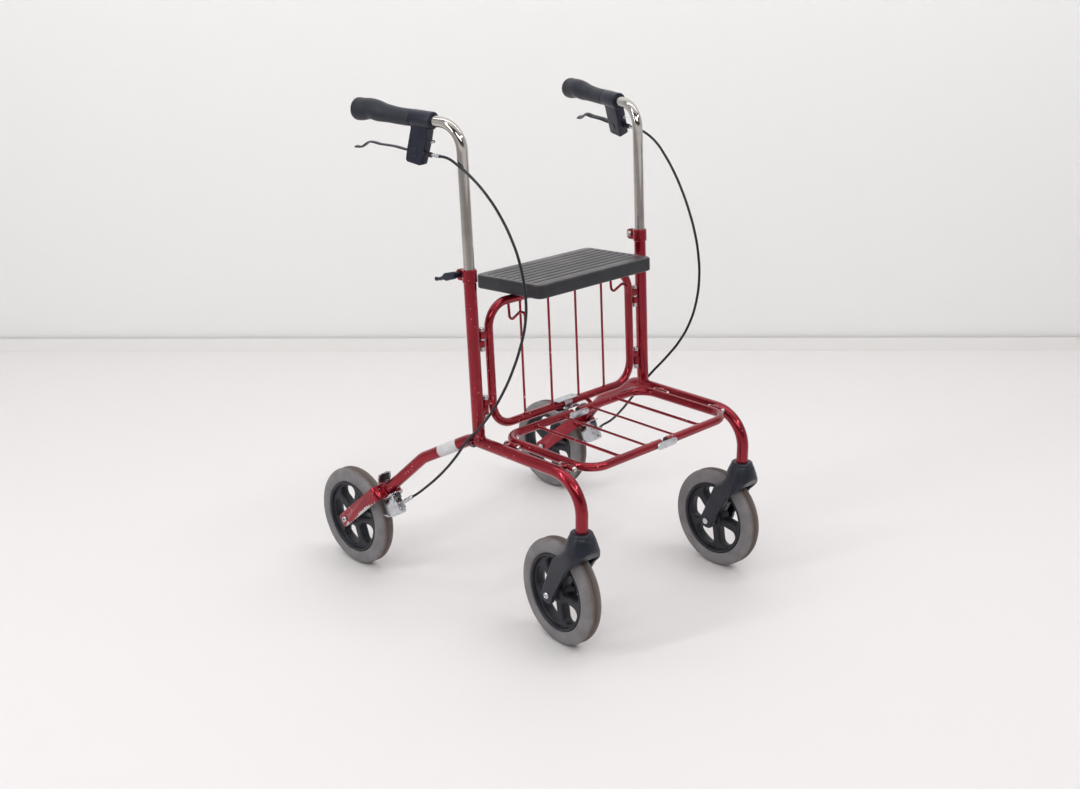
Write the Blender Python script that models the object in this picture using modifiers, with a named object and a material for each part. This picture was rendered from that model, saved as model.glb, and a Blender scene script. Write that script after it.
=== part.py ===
# Folding rollator: two side frames joined by a hinged back loop and a hinged wire tray.
# Metres, +Z up. The wheels stand on z = 0, the front is -Y, and the user walks behind, at +Y.
# "side" is -1 for the right half and +1 for the left half, as the user sees them.
import math

import bmesh
import bpy
from mathutils import Matrix, Vector

RIGHT = -1
LEFT = 1
SIDE_NAMES = {RIGHT: "right", LEFT: "left"}
GAP = 0.0003

# Wheels
TYRE_R = 0.100
TYRE_INNER_R = 0.0738
TYRE_HALF_WIDTH = 0.0178
TREAD_INNER = 0.0030
TREAD_OUTER = 0.0105
CREASE_DEPTH = 0.0038
WHEEL_SIDES = 24
RIM_R = TYRE_INNER_R - GAP
RIM_HALF_WIDTH = 0.0155
RIM_BAND = 0.0080
SPOKE_HALF_DEPTH = 0.0090
SPOKES = 5
SPOKE_HALF_WIDTH = 0.0080
FRONT_SPOKE_TURN = math.radians(26)
REAR_SPOKE_TURN = math.radians(15)
HUB_R = 0.0170
AXLE_R = 0.0040
AXLE_HOLE_R = 0.0045
FRONT_HUB_HALF = 0.0240
REAR_HUB_HALF = 0.0270
REAR_WHEEL_X = 0.279
REAR_AXLE_Y = 0.260

# Caster stem and fork
STEM_X = 0.2272
STEM_Y = -0.3155
STEM_BOTTOM = 0.2370
TRAIL = 0.0563
CASTER_ARM_OUT = 0.0340
CASTER_ARM_IN = 0.0265
CASTER_SLOT_R = 0.1140
# Each caster as it was left standing: its turn about the stem
CASTER_TURN = {RIGHT: math.radians(-7.5), LEFT: math.radians(-3.5)}
PIVOT_R = 0.0062
PIVOT_BORE_R = 0.0070
PIVOT_TOP = 0.2740

# Side frame tubes
CHASSIS_R = 0.01125
SIDE_X = 0.228
RAIL_Z = 0.3325
REAR_CORNER_Y = -0.0348
LEG_CORNER = (0.2566, 0.0738, 0.2713)
LEG_END = (0.2830, 0.1703, 0.1737)
FRONT_BEND = 0.0680
REAR_BEND = 0.0500
LEG_BEND = 0.0600
UPRIGHT_R = 0.0115
UPRIGHT_BORE_R = 0.0104
UPRIGHT_TOP = 0.6545
COLLAR_R = 0.0135
COLLAR_BOTTOM = 0.6320
COLLAR_TOP = 0.6550
EAR_REACH = 0.0310
EAR_HALF = 0.0045
SLIT_HALF = 0.0015
CLAMP_DEPTH = 0.0230
CLAMP_Z = 0.6445
CLAMP_SHANK_R = 0.0030
SHANK_PLAY = 0.0004
CLAMP_ANGLES = {RIGHT: math.radians(-17), LEFT: math.radians(-100)}

# Rear fork: a strap bent into a U, its crown square to the line from the axle
STRAP = 0.0030
STRAP_HALF_WIDTH = 0.0140
STRAP_OUT = 0.0330
CROWN_FACE = 0.1365
FORK_TILT = math.radians(49.7)

# Rake of the uprights and of the back loop, about a line at RAKE_Y, RAKE_Z
RAKE = math.atan(0.0584)
RAKE_Y = -0.0544
RAKE_Z = 0.3370

# Handles
HANDLE_R = 0.0099
HANDLE_BORE_R = 0.0083
HANDLE_STEM = 0.4017
HANDLE_BEND = 0.0480
HANDLE_END = 0.2320
GRIP_RISE = math.radians(2.3)
# Each handle as it was last clamped: corner height, toe-out, and the control's turn about the tube
HANDLE_SETTINGS = {
    RIGHT: (0.9067, math.radians(9.7), 0.0),
    LEFT: (0.8958, math.radians(12.6), math.radians(-24)),
}
SOCKET_R = 0.0104
LEVER_PIVOT = (0.0970, -0.0560)
CABLE_Z = -0.0590
CABLE_OUT = 0.0040
CABLE_R = 0.0025

# Back loop and tray
LOOP_R = 0.0080
LOOP_X = 0.1895
LOOP_BOTTOM = 0.3500
LOOP_TOP = 0.5830
LOOP_BEND = 0.0450
HINGE_X = 0.2075
KNUCKLE_R = 0.0055
WEB_HALF = 0.0032
WEB_INSET = 0.0008
WEB_ROOT = 0.0042
WEB_TIP = 0.0040
SIDE_KNUCKLES = ((0.3810, 0.3963), (0.5087, 0.5210))
LOOP_KNUCKLES = ((0.3966, 0.4086), (0.5245, 0.5377))
SIDE_BARRELS = ((-0.2620, -0.2480), (-0.1220, -0.1080))
TRAY_BARRELS = ((-0.2770, -0.2630), (-0.1370, -0.1230))
PIN_HOLE_R = 0.0033
PIN_R = 0.0028
PIN_NUT_R = 0.0052
PIN_WASHER_R = 0.0056
PIN_HEAD_R = 0.0054
UPPER_PIN = (0.5451, 0.5380, 0.5084, 0.5008, (0.5242, 0.5213))
LOWER_PIN = (0.4172, 0.4089, 0.3807, 0.3716)
TRAY_PIN_R = 0.0050
FRONT_TRAY_PIN = (-0.2810, -0.2430)
REAR_TRAY_PIN = (-0.1410, -0.1030)
BACK_WIRE_R = 0.0023
BACK_WIRES = (0.0365, 0.1095)
TRAY_WIRES = ((0.1105, 0.0028), (0.0385, 0.0022))
HOOK_X = 0.1380
HOOK_R = 0.0025
SHEET = 0.0020
SHEET_GAP = 0.0005
LINK_THICK = 0.0030
LINK_GAP = 0.0006
MIDDLE_X = 0.0200
RAIL_END_X = 0.0080
MIDDLE_PIN_R = 0.0030
MIDDLE_HOLE_R = 0.0036
TRAY_X = 0.1920
TRAY_Z = 0.3375
TRAY_FRONT = -0.3034
TRAY_REAR = -0.0804
TRAY_BEND = 0.0400

# Seat
SEAT_RIGHT = -0.1455
SEAT_LEFT = 0.1600
SEAT_FRONT = -0.0924
SEAT_REAR = 0.0809
SEAT_TOP = 0.6213
SEAT_THICK = 0.0260
SEAT_SKIN = 0.0060
SEAT_RIM = 0.0060
SEAT_COLUMNS = 5
SEAT_BEAM = (-0.0120, 0.0240)
# Notch under the seat that clears the loop's upper bracket as the seat tips
BRACKET_NOTCH_X = 0.0340
BRACKET_NOTCH_Y = 0.0130
BRACKET_NOTCH_Z = 0.0165
GROOVE_BORDER = 0.0100
GROOVE_HALF = 0.0016
SEAT_RIBS = 9

# Rear brake, in the rear fork's own frame: up the strap and square to it
BRAKE_PIVOT_ACROSS = -0.0240
BRAKE_PIVOT_ALONG = 0.1430

COLOURS = {
    "red_paint": ((0.26, 0.012, 0.025), 0.28, 0.6),
    "chrome": ((0.75, 0.74, 0.72), 0.10, 1.0),
    "zinc": ((0.55, 0.56, 0.58), 0.38, 1.0),
    "black_plastic": ((0.022, 0.024, 0.032), 0.48, 0.0),
    "fork_plastic": ((0.028, 0.032, 0.042), 0.42, 0.0),
    "seat_plastic": ((0.060, 0.058, 0.062), 0.60, 0.0),
    "grip_foam": ((0.035, 0.037, 0.044), 0.75, 0.0),
    "tyre_grey": ((0.160, 0.138, 0.128), 0.80, 0.0),
    "cable_black": ((0.012, 0.012, 0.014), 0.45, 0.0),
}

AXES = {"X": Vector((1, 0, 0)), "Y": Vector((0, 1, 0)), "Z": Vector((0, 0, 1))}
WORLD = Matrix.Identity(4)
RAKE_FRAME = Matrix.Translation((0, RAKE_Y, RAKE_Z)) @ Matrix.Rotation(-RAKE, 4, "X")


# Scene helpers
def new_collection(name):
    collection = bpy.data.collections.new(name)
    bpy.context.scene.collection.children.link(collection)
    return collection


def material(name):
    """One Principled material for each finish."""
    existing = bpy.data.materials.get(name)
    if existing:
        return existing
    colour, roughness, metallic = COLOURS[name]
    made = bpy.data.materials.new(name)
    made.use_nodes = True
    shader = made.node_tree.nodes["Principled BSDF"]
    shader.inputs["Base Color"].default_value = (*colour, 1.0)
    shader.inputs["Roughness"].default_value = roughness
    shader.inputs["Metallic"].default_value = metallic
    made.diffuse_color = (*colour, 1.0)
    return made


def mesh_object(mesh):
    obj = bpy.data.objects.new("piece", mesh)
    PARTS.objects.link(obj)
    return obj


def form_object(form, frame):
    """Turn a bmesh into an object whose mesh is placed by the frame."""
    bmesh.ops.transform(form, matrix=frame, verts=form.verts)
    mesh = bpy.data.meshes.new("piece")
    form.to_mesh(mesh)
    form.free()
    return mesh_object(mesh)


def evaluated_piece(source, frame):
    """Weld the evaluated mesh of a curve or a turned profile, and remove its source object."""
    graph = bpy.context.evaluated_depsgraph_get()
    mesh = bpy.data.meshes.new_from_object(source.evaluated_get(graph))
    bpy.data.objects.remove(source, do_unlink=True)
    form = bmesh.new()
    form.from_mesh(mesh)
    bpy.data.meshes.remove(mesh)
    bmesh.ops.remove_doubles(form, verts=form.verts, dist=0.000002)
    bmesh.ops.dissolve_limit(form, angle_limit=0.002, verts=form.verts, edges=form.edges)
    bmesh.ops.recalc_face_normals(form, faces=form.faces)
    return form_object(form, frame)


def finish(obj, name, look, body):
    """Name a node, give it its material and smooth shading, and hang it on its body's empty."""
    obj.name = name
    obj.data.name = name
    obj.data.materials.clear()
    obj.data.materials.append(material(look))
    obj.data.shade_smooth()
    obj.data.set_sharp_from_angle(angle=math.radians(35))
    if obj.modifiers:
        flatten = obj.modifiers.new("merge_flat_faces", "DECIMATE")
        flatten.decimate_type = "DISSOLVE"
        flatten.angle_limit = math.radians(0.2)
    obj.parent = body
    obj.matrix_parent_inverse = Matrix.Translation(body.location).inverted()
    return obj


def body_empty(name, location, parent=None):
    """An empty on the body's joint axis; its location is in world coordinates."""
    empty = bpy.data.objects.new(name, None)
    empty.empty_display_size = 0.03
    empty.location = location
    PARTS.objects.link(empty)
    if parent:
        empty.parent = parent
        empty.matrix_parent_inverse = Matrix.Translation(parent.location).inverted()
    return empty


def combine(target, operation, operands):
    for operand in operands:
        modifier = target.modifiers.new(operation.lower(), "BOOLEAN")
        modifier.operation = operation
        modifier.solver = "EXACT"
        modifier.object = operand
        PARTS.objects.unlink(operand)
        CUTTERS.objects.link(operand)
        operand.name = operation.lower() + "_operand"
        operand.hide_render = True
        operand.display_type = "WIRE"
    return target


def join(target, *operands):
    return combine(target, "UNION", operands)


def cut(target, *operands):
    return combine(target, "DIFFERENCE", operands)


def overlap_of(target, *operands):
    return combine(target, "INTERSECT", operands)


# Shape helpers
def plane(frame, first, second):
    """A frame whose X and Y run along two axes of the given frame."""
    turn = Matrix((AXES[first], AXES[second], AXES[first].cross(AXES[second])))
    return frame @ turn.transposed().to_4x4()


def arc(before, corner, after, radius, step):
    """Points of the fillet at a corner."""
    back = (before - corner).normalized()
    ahead = (after - corner).normalized()
    half = back.angle(ahead) / 2
    sweep = math.pi - 2 * half
    steps = max(1, math.ceil(sweep / step - 0.01))
    centre = corner + (back + ahead).normalized() * (radius / math.sin(half))
    first = corner + back * (radius / math.tan(half)) - centre
    last = corner + ahead * (radius / math.tan(half)) - centre
    points = []
    for index in range(steps + 1):
        turned_by = sweep * index / steps
        mix = first * math.sin(sweep - turned_by) + last * math.sin(turned_by)
        points.append(centre + mix / math.sin(sweep))
    return points


def outline(corners, step=math.radians(30)):
    """A closed outline from (x, y, fillet radius) corners."""
    points = []
    for index, (x, y, radius) in enumerate(corners):
        corner = Vector((x, y))
        if radius == 0:
            points.append(corner)
            continue
        before = Vector(corners[index - 1][:2])
        after = Vector(corners[(index + 1) % len(corners)][:2])
        points += arc(before, corner, after, radius, step)
    return points


def route(corners, step=math.radians(27)):
    """An open path from (point, bend radius) corners."""
    places = [Vector(point) for point, radius in corners]
    points = [places[0]]
    for index in range(1, len(corners) - 1):
        points += arc(places[index - 1], places[index], places[index + 1], corners[index][1], step)
    return points + [places[-1]]


def ribbon(points, thickness):
    """The outline of a bent strip, from its centre line."""
    line = [Vector(point) for point in points]
    left = []
    right = []
    for index, point in enumerate(line):
        before = (point - line[index - 1]).normalized() if index else None
        after = (line[index + 1] - point).normalized() if index + 1 < len(line) else None
        first = before or after
        second = after or before
        normal = Vector((-(first.y + second.y), first.x + second.x)).normalized()
        reach = thickness / 2 / normal.dot(Vector((-first.y, first.x)))
        left.append(point + normal * reach)
        right.append(point - normal * reach)
    return left + right[::-1]


def plate(outlines, thickness, frame=WORLD, bevel=0.0):
    """A flat piece from closed outlines in the frame's XY plane, centred on that plane."""
    curve = bpy.data.curves.new("outline", "CURVE")
    curve.dimensions = "2D"
    curve.fill_mode = "BOTH"
    curve.extrude = thickness / 2 - bevel
    curve.bevel_depth = bevel
    curve.bevel_resolution = 0
    curve.offset = -bevel
    for points in outlines:
        spline = curve.splines.new("POLY")
        spline.points.add(len(points) - 1)
        for place, point in zip(spline.points, points):
            place.co = (point[0], point[1], 0, 1)
        spline.use_cyclic_u = True
    source = bpy.data.objects.new("outline", curve)
    PARTS.objects.link(source)
    return evaluated_piece(source, frame)


def tube(points, radius, sides=12, swell=None):
    """A round bar along a path; swell holds each point's share of the radius."""
    curve = bpy.data.curves.new("path", "CURVE")
    curve.dimensions = "3D"
    curve.bevel_depth = radius
    curve.bevel_resolution = (sides - 4) // 2
    curve.use_fill_caps = True
    spline = curve.splines.new("POLY")
    spline.points.add(len(points) - 1)
    for index, point in enumerate(points):
        spline.points[index].co = (*point, 1)
        spline.points[index].radius = swell[index] if swell else 1.0
    source = bpy.data.objects.new("path", curve)
    PARTS.objects.link(source)
    return evaluated_piece(source, WORLD)


def cable(points, radius, steps=2):
    """A cable along a smooth curve through its route's points."""
    curve = bpy.data.curves.new("cable", "CURVE")
    curve.dimensions = "3D"
    curve.bevel_depth = radius
    curve.bevel_resolution = 1
    curve.resolution_u = steps
    curve.use_fill_caps = True
    spline = curve.splines.new("BEZIER")
    spline.bezier_points.add(len(points) - 1)
    for knot, point in zip(spline.bezier_points, points):
        knot.co = point
        knot.handle_left_type = "AUTO"
        knot.handle_right_type = "AUTO"
    source = bpy.data.objects.new("cable", curve)
    PARTS.objects.link(source)
    return evaluated_piece(source, WORLD)


def cylinder(start, end, radius, sides=12, end_radius=None):
    start = Vector(start)
    end = Vector(end)
    form = bmesh.new()
    far_radius = radius if end_radius is None else end_radius
    length = (end - start).length
    bmesh.ops.create_cone(
        form, cap_ends=True, segments=sides, radius1=radius, radius2=far_radius, depth=length)
    turn = (end - start).to_track_quat("Z", "Y").to_matrix().to_4x4()
    return form_object(form, Matrix.Translation((start + end) / 2) @ turn)


def box(one_corner, other_corner, frame=WORLD):
    low = Vector(map(min, one_corner, other_corner))
    high = Vector(map(max, one_corner, other_corner))
    form = bmesh.new()
    bmesh.ops.create_cube(form, size=1.0)
    middle = Matrix.Translation((low + high) / 2)
    return form_object(form, frame @ middle @ Matrix.Diagonal((*(high - low), 1.0)))


def turned(profile, frame, steps=12):
    """Turn a (radius, height) profile, top to bottom, about the frame's Z axis."""
    mesh = bpy.data.meshes.new("profile")
    closed = profile[0][0] > 0
    edges = [(index, index + 1) for index in range(len(profile) - 1)]
    if closed:
        edges.append((len(profile) - 1, 0))
    mesh.from_pydata([(radius, 0, height) for radius, height in profile], edges, [])
    source = mesh_object(mesh)
    screw = source.modifiers.new("turn", "SCREW")
    screw.axis = "Z"
    screw.angle = 2 * math.pi
    screw.steps = steps
    screw.render_steps = steps
    screw.use_merge_vertices = True
    screw.merge_threshold = 0.000002
    return evaluated_piece(source, frame)


def along_x(frame):
    """The frame with its Z axis laid along its old X axis."""
    return frame @ Matrix.Rotation(math.pi / 2, 4, "Y")


# Frames of the object
def up(z):
    """Distance along the raked uprights for a height on their line."""
    return (z - RAKE_Z) / math.cos(RAKE)


def raked(x, depth, z):
    return RAKE_FRAME @ Vector((x, depth, up(z)))


def handle_frame(side):
    """At the handle's corner: X across the grip, Y back along it, Z away from the lever."""
    corner_z, toe_out, roll = HANDLE_SETTINGS[side]
    along = Vector((
        side * math.sin(toe_out) * math.cos(GRIP_RISE),
        math.cos(toe_out) * math.cos(GRIP_RISE),
        math.sin(GRIP_RISE)))
    across = Vector((along.y, -along.x, 0)).normalized()
    turn = Matrix((across, along, across.cross(along))).transposed().to_4x4()
    return Matrix.Translation(raked(side * SIDE_X, 0, corner_z)) @ turn @ Matrix.Rotation(roll, 4, "Y")


def handle_foot(side, extra=0.0):
    """The low end of the handle tube, inside the upright."""
    return raked(side * SIDE_X, 0, HANDLE_SETTINGS[side][0] - HANDLE_STEM - extra)


def caster_frame(side):
    """On the stem's axis at ground level: X along the wheel's axle, Y back along its trail."""
    return Matrix.Translation((side * STEM_X, STEM_Y, 0)) @ Matrix.Rotation(CASTER_TURN[side], 4, "Z")


def front_wheel_frame(side):
    return caster_frame(side) @ Matrix.Translation((0, TRAIL, TYRE_R))


def rear_wheel_frame(side):
    return Matrix.Translation((side * REAR_WHEEL_X, REAR_AXLE_Y, TYRE_R))


def fork_frame(side):
    """At the rear axle: X along the axle, Y square to the strap, Z up the strap."""
    return rear_wheel_frame(side) @ Matrix.Rotation(FORK_TILT, 4, "X")


def clamp_place(side):
    return raked(side * SIDE_X, CLAMP_DEPTH, CLAMP_Z)


# Wheels
def tyre(frame):
    """Solid tyre of two rounded lobes with a crease between them; each has a flat facet on the ground."""
    stretch = 1 / math.cos(math.pi / WHEEL_SIDES)
    half = [
        (TYRE_R, TREAD_INNER),
        (TYRE_R, TREAD_OUTER),
        (TYRE_R - 0.0060, TYRE_HALF_WIDTH),
        (TYRE_INNER_R, TYRE_HALF_WIDTH - 0.0025),
    ]
    outer = [(radius * stretch, width) for radius, width in half]
    crease = ((TYRE_R - CREASE_DEPTH) * stretch, 0.0)
    profile = outer[::-1] + [crease] + [(radius, -width) for radius, width in outer]
    turn = Matrix.Rotation(math.pi / WHEEL_SIDES, 4, "Z")
    return turned(profile, along_x(frame) @ turn, WHEEL_SIDES)


def spoke_opening(index):
    """Rounded opening between two spokes."""
    inner_r = HUB_R + 0.0050
    outer_r = RIM_R - RIM_BAND - 0.0020
    half_pitch = math.pi / SPOKES
    inner_angle = half_pitch - math.asin(SPOKE_HALF_WIDTH / inner_r)
    outer_angle = half_pitch - math.asin(SPOKE_HALF_WIDTH / outer_r)
    corners = []
    turn = 2 * math.pi * index / SPOKES
    for radius, angle, fillet in (
            (inner_r, -inner_angle, 0.0),
            (outer_r, -outer_angle, 0.0060),
            (outer_r * 1.02, 0.0, 0.0),
            (outer_r, outer_angle, 0.0060),
            (inner_r, inner_angle, 0.0)):
        corners.append((radius * math.cos(turn + angle), radius * math.sin(turn + angle), fillet))
    return outline(corners, math.radians(60))


def rim(wheel_frame, hub_half, spoke_turn):
    """Moulded rim: outer band, deep spokes with rounded openings, and a hub bored for the axle."""
    stretch = 1 / math.cos(math.pi / WHEEL_SIDES)
    frame = along_x(wheel_frame) @ Matrix.Rotation(math.pi / WHEEL_SIDES, 4, "Z")
    band_r = RIM_R - RIM_BAND
    band = turned([
        (RIM_R * stretch, RIM_HALF_WIDTH), (RIM_R * stretch, -RIM_HALF_WIDTH),
        (band_r, -RIM_HALF_WIDTH), (band_r, RIM_HALF_WIDTH)], frame, WHEEL_SIDES)
    web_r = band_r + 0.0065
    web_sides = 12
    circle = [(web_r * math.cos(math.tau * step / web_sides), web_r * math.sin(math.tau * step / web_sides))
              for step in range(web_sides)]
    openings = [spoke_opening(index) for index in range(SPOKES)]
    web_frame = along_x(wheel_frame) @ Matrix.Rotation(spoke_turn, 4, "Z")
    web = plate([circle] + openings, 2 * SPOKE_HALF_DEPTH, web_frame)
    hub = cylinder(frame @ Vector((0, 0, -hub_half)), frame @ Vector((0, 0, hub_half)), HUB_R)
    join(band, web, hub)
    bore_end = Vector((0, 0, hub_half + 0.005))
    return cut(band, cylinder(frame @ -bore_end, frame @ bore_end, AXLE_HOLE_R, 8))


def axle(side, wheel_frame, half_width):
    """Axle bolt with a domed head outside and a nut inside."""
    face = half_width + GAP
    head_r = 0.0062
    nut_r = 0.0060
    profile = [
        (0.0, face + 0.0034), (0.0042, face + 0.0030), (head_r, face + 0.0012), (head_r, face),
        (AXLE_R, face), (AXLE_R, -face), (nut_r, -face), (nut_r, -face - 0.0034),
        (0.0, -face - 0.0036)]
    return turned(profile, wheel_frame @ Matrix.Rotation(side * math.pi / 2, 4, "Y"), 8)


def caster_fork(side):
    """Moulded fork: a round crown that widens into an arch and two trailing arms."""
    frame = caster_frame(side)
    side_view = outline([
        (-0.0205, 0.2290, 0.0), (-0.0295, 0.2170, 0.006), (-0.0290, 0.2060, 0.003),
        (-0.0170, 0.1885, 0.006), (0.0030, 0.1680, 0.020), (TRAIL - 0.0155, 0.1040, 0.006),
        (TRAIL - 0.0090, 0.0870, 0.009), (TRAIL + 0.0110, 0.0880, 0.010),
        (TRAIL + 0.0120, 0.1060, 0.010), (0.0500, 0.1530, 0.040), (0.0330, 0.1980, 0.030),
        (0.0190, 0.2290, 0.0)])
    half_view = [(0.0205, 0.2300), (0.0270, 0.2190), (0.0325, 0.2030), (CASTER_ARM_OUT, 0.1880),
                 (CASTER_ARM_OUT, 0.1350), (CASTER_ARM_OUT - 0.0010, 0.0800)]
    front_view = half_view + [(-x, z) for x, z in reversed(half_view)]
    front_r = CASTER_ARM_OUT - 0.0020
    arm_out = CASTER_ARM_OUT + GAP
    top_view = outline([
        (-arm_out, -0.0300, front_r), (arm_out, -0.0300, front_r), (arm_out, 0.1000, 0), (-arm_out, 0.1000, 0)])
    fork = plate([side_view], 0.100, plane(frame, "Y", "Z"))
    overlap_of(
        fork, plate([front_view], 0.200, plane(frame, "X", "Z")), plate([top_view], 0.500, frame))
    crown = turned([
        (0.0, 0.2365), (0.0165, 0.2365), (0.0205, 0.2350), (0.0218, 0.2310), (0.0218, 0.2240),
        (0.0235, 0.2180), (0.0, 0.2160)], frame, 16)
    pivot = cylinder(frame @ Vector((0, 0, 0.2300)), frame @ Vector((0, 0, PIVOT_TOP)), PIVOT_R, 10)
    join(fork, crown, pivot)
    wheel = front_wheel_frame(side)
    slot = Vector((CASTER_ARM_IN, 0, 0))
    hole = Vector((0.05, 0, 0))
    return cut(
        fork,
        cylinder(wheel @ -slot, wheel @ slot, CASTER_SLOT_R, 20),
        cylinder(wheel @ -hole, wheel @ hole, AXLE_HOLE_R))


# Side frame
def side_frame(side):
    """Bent chassis tube with the upright, its clamping collar and the hinge knuckles welded on."""
    chassis = tube(route([
        ((side * STEM_X, STEM_Y, STEM_BOTTOM), 0),
        ((side * STEM_X, STEM_Y, RAIL_Z), FRONT_BEND),
        ((side * SIDE_X, REAR_CORNER_Y, RAIL_Z), REAR_BEND),
        ((side * LEG_CORNER[0], *LEG_CORNER[1:]), LEG_BEND),
        ((side * LEG_END[0], *LEG_END[1:]), 0)]), CHASSIS_R, 10)
    upright = cylinder(
        raked(side * SIDE_X, 0, RAIL_Z), raked(side * SIDE_X, 0, UPRIGHT_TOP), UPRIGHT_R, 12)
    collar = cylinder(
        raked(side * SIDE_X, 0, COLLAR_BOTTOM), raked(side * SIDE_X, 0, COLLAR_TOP), COLLAR_R, 12)
    ear_low = up(COLLAR_BOTTOM + 0.0012)
    ear_high = up(COLLAR_TOP - 0.0012)
    ears = plate([outline([
        (0.0095, ear_low, 0), (EAR_REACH, ear_low, 0.006),
        (EAR_REACH, ear_high, 0.006), (0.0095, ear_high, 0)])],
        2 * EAR_HALF, plane(RAKE_FRAME @ Matrix.Translation((side * SIDE_X, 0, 0)), "Y", "Z"))
    join(chassis, upright, collar, ears)
    join(chassis, *back_knuckles(side, SIDE_X, SIDE_KNUCKLES), *tray_barrels(side, SIDE_X, SIDE_BARRELS))
    slit_x = side * SIDE_X
    clamp = clamp_place(side)
    reach = Vector((0.03, 0, 0))
    return cut(
        chassis,
        cylinder(raked(side * SIDE_X, 0, 0.365), raked(side * SIDE_X, 0, 0.700), UPRIGHT_BORE_R, 12),
        box((slit_x - SLIT_HALF, 0.004, up(0.626)), (slit_x + SLIT_HALF, 0.040, up(0.670)), RAKE_FRAME),
        cylinder(clamp - reach, clamp + reach, CLAMP_SHANK_R + SHANK_PLAY, 8),
        cylinder(raked(side * HINGE_X, 0, 0.350), raked(side * HINGE_X, 0, 0.550), PIN_HOLE_R, 8),
        cylinder((side * HINGE_X, -0.280, TRAY_Z), (side * HINGE_X, -0.095, TRAY_Z), PIN_HOLE_R, 8),
        cylinder((side * STEM_X, STEM_Y, 0.2200), (side * STEM_X, STEM_Y, 0.2775), PIVOT_BORE_R, 10),
        box((-0.05, -0.05, 0.05), (0.05, 0.05, CROWN_FACE + GAP), fork_frame(side)))


def back_knuckles(side, tube_x, spans):
    """Knuckles on the raked hinge line, each with a web to its tube."""
    pieces = []
    for low, high in spans:
        pieces.append(cylinder(
            raked(side * HINGE_X, 0, low), raked(side * HINGE_X, 0, high), KNUCKLE_R, 10))
        pieces.append(box(
            (side * (HINGE_X + math.copysign(WEB_ROOT, tube_x - HINGE_X)), -WEB_HALF, up(low + WEB_INSET)),
            (side * (tube_x - math.copysign(WEB_TIP, tube_x - HINGE_X)), WEB_HALF, up(high - WEB_INSET)),
            RAKE_FRAME))
    return pieces


def tray_barrels(side, tube_x, spans):
    """Barrels on the tray's hinge line, each with a web to its tube."""
    pieces = []
    for front, rear in spans:
        pieces.append(cylinder(
            (side * HINGE_X, front, TRAY_Z), (side * HINGE_X, rear, TRAY_Z), KNUCKLE_R, 10))
        root = HINGE_X + math.copysign(WEB_ROOT, tube_x - HINGE_X)
        tip = tube_x - math.copysign(WEB_TIP, tube_x - HINGE_X)
        pieces.append(box(
            (side * root, front + WEB_INSET, TRAY_Z - WEB_HALF),
            (side * tip, rear - WEB_INSET, TRAY_Z + WEB_HALF)))
    return pieces


def rear_fork(side):
    """Steel strap bent into a U over the rear wheel."""
    frame = fork_frame(side)
    inside = STRAP_OUT - STRAP
    strap = plate([outline([
        (-STRAP_OUT, -0.030, 0), (-STRAP_OUT, CROWN_FACE, 0.0130),
        (STRAP_OUT, CROWN_FACE, 0.0130), (STRAP_OUT, -0.030, 0),
        (inside, -0.030, 0), (inside, CROWN_FACE - STRAP, 0.0100),
        (-inside, CROWN_FACE - STRAP, 0.0100), (-inside, -0.030, 0)])], 0.050, plane(frame, "X", "Z"))
    side_view = outline([
        (-STRAP_HALF_WIDTH, -STRAP_HALF_WIDTH, 0.0125), (STRAP_HALF_WIDTH, -STRAP_HALF_WIDTH, 0.0125),
        (STRAP_HALF_WIDTH, 0.150, 0), (-STRAP_HALF_WIDTH, 0.150, 0)])
    overlap_of(strap, plate([side_view], 0.100, plane(frame, "Y", "Z")))
    reach = Vector((0.05, 0, 0))
    return cut(strap, cylinder(frame @ -reach, frame @ reach, AXLE_HOLE_R))


def clamp_bolt(side):
    """Bolt through the collar's ears, its domed head towards the seat."""
    frame = Matrix.Translation(clamp_place(side)) @ Matrix.Rotation(side * math.pi / 2, 4, "Y")
    head = -EAR_HALF - GAP
    return turned([
        (0.0, 0.0142), (CLAMP_SHANK_R, 0.0142), (CLAMP_SHANK_R, head), (0.0060, head),
        (0.0056, head - 0.0024), (0.0036, head - 0.0040), (0.0, head - 0.0044)], frame, 10)


def clamp_lever(side, angle):
    """Plastic lever on the bolt's outer end: a hub, a thick body and a thin finger."""
    place = Matrix.Translation(clamp_place(side))
    outward = Matrix.Translation((side * 0.0180, 0, 0))
    blade_frame = plane(place @ outward @ Matrix.Rotation(angle, 4, "X"), "Y", "Z")
    blade = plate([outline([
        (-0.0070, -0.0062, 0.005), (0.0200, -0.0064, 0.003), (0.0265, -0.0030, 0.003),
        (0.0460, -0.0042, 0.0025), (0.0485, 0.0010, 0.002), (0.0440, 0.0022, 0.002),
        (0.0280, 0.0024, 0.003), (0.0210, 0.0062, 0.003), (-0.0070, 0.0062, 0.005)],
        math.radians(50))], 0.0080, blade_frame)
    inner = clamp_place(side) + Vector((side * (EAR_HALF + GAP), 0, 0))
    outer = clamp_place(side) + Vector((side * 0.0165, 0, 0))
    join(blade, cylinder(inner, outer, 0.0058, 12))
    socket = clamp_place(side) + Vector((side * 0.0156, 0, 0))
    return cut(blade, cylinder(clamp_place(side), socket, CLAMP_SHANK_R + SHANK_PLAY, 8))


# Handles
def handle_tube(side):
    """Hollow chrome tube: up the rake, round the bend and back along the grip."""
    frame = handle_frame(side)
    corner = frame @ Vector((0, 0, 0))
    bend_step = math.radians(15)
    sides = 10
    overrun = 0.010
    outside = tube(route([
        (handle_foot(side), 0), (corner, HANDLE_BEND),
        (frame @ Vector((0, HANDLE_END, 0)), 0)], bend_step), HANDLE_R, sides)
    inside = tube(route([
        (handle_foot(side, overrun), 0), (corner, HANDLE_BEND),
        (frame @ Vector((0, HANDLE_END + overrun, 0)), 0)], bend_step), HANDLE_BORE_R, sides)
    return cut(outside, inside)


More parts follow.
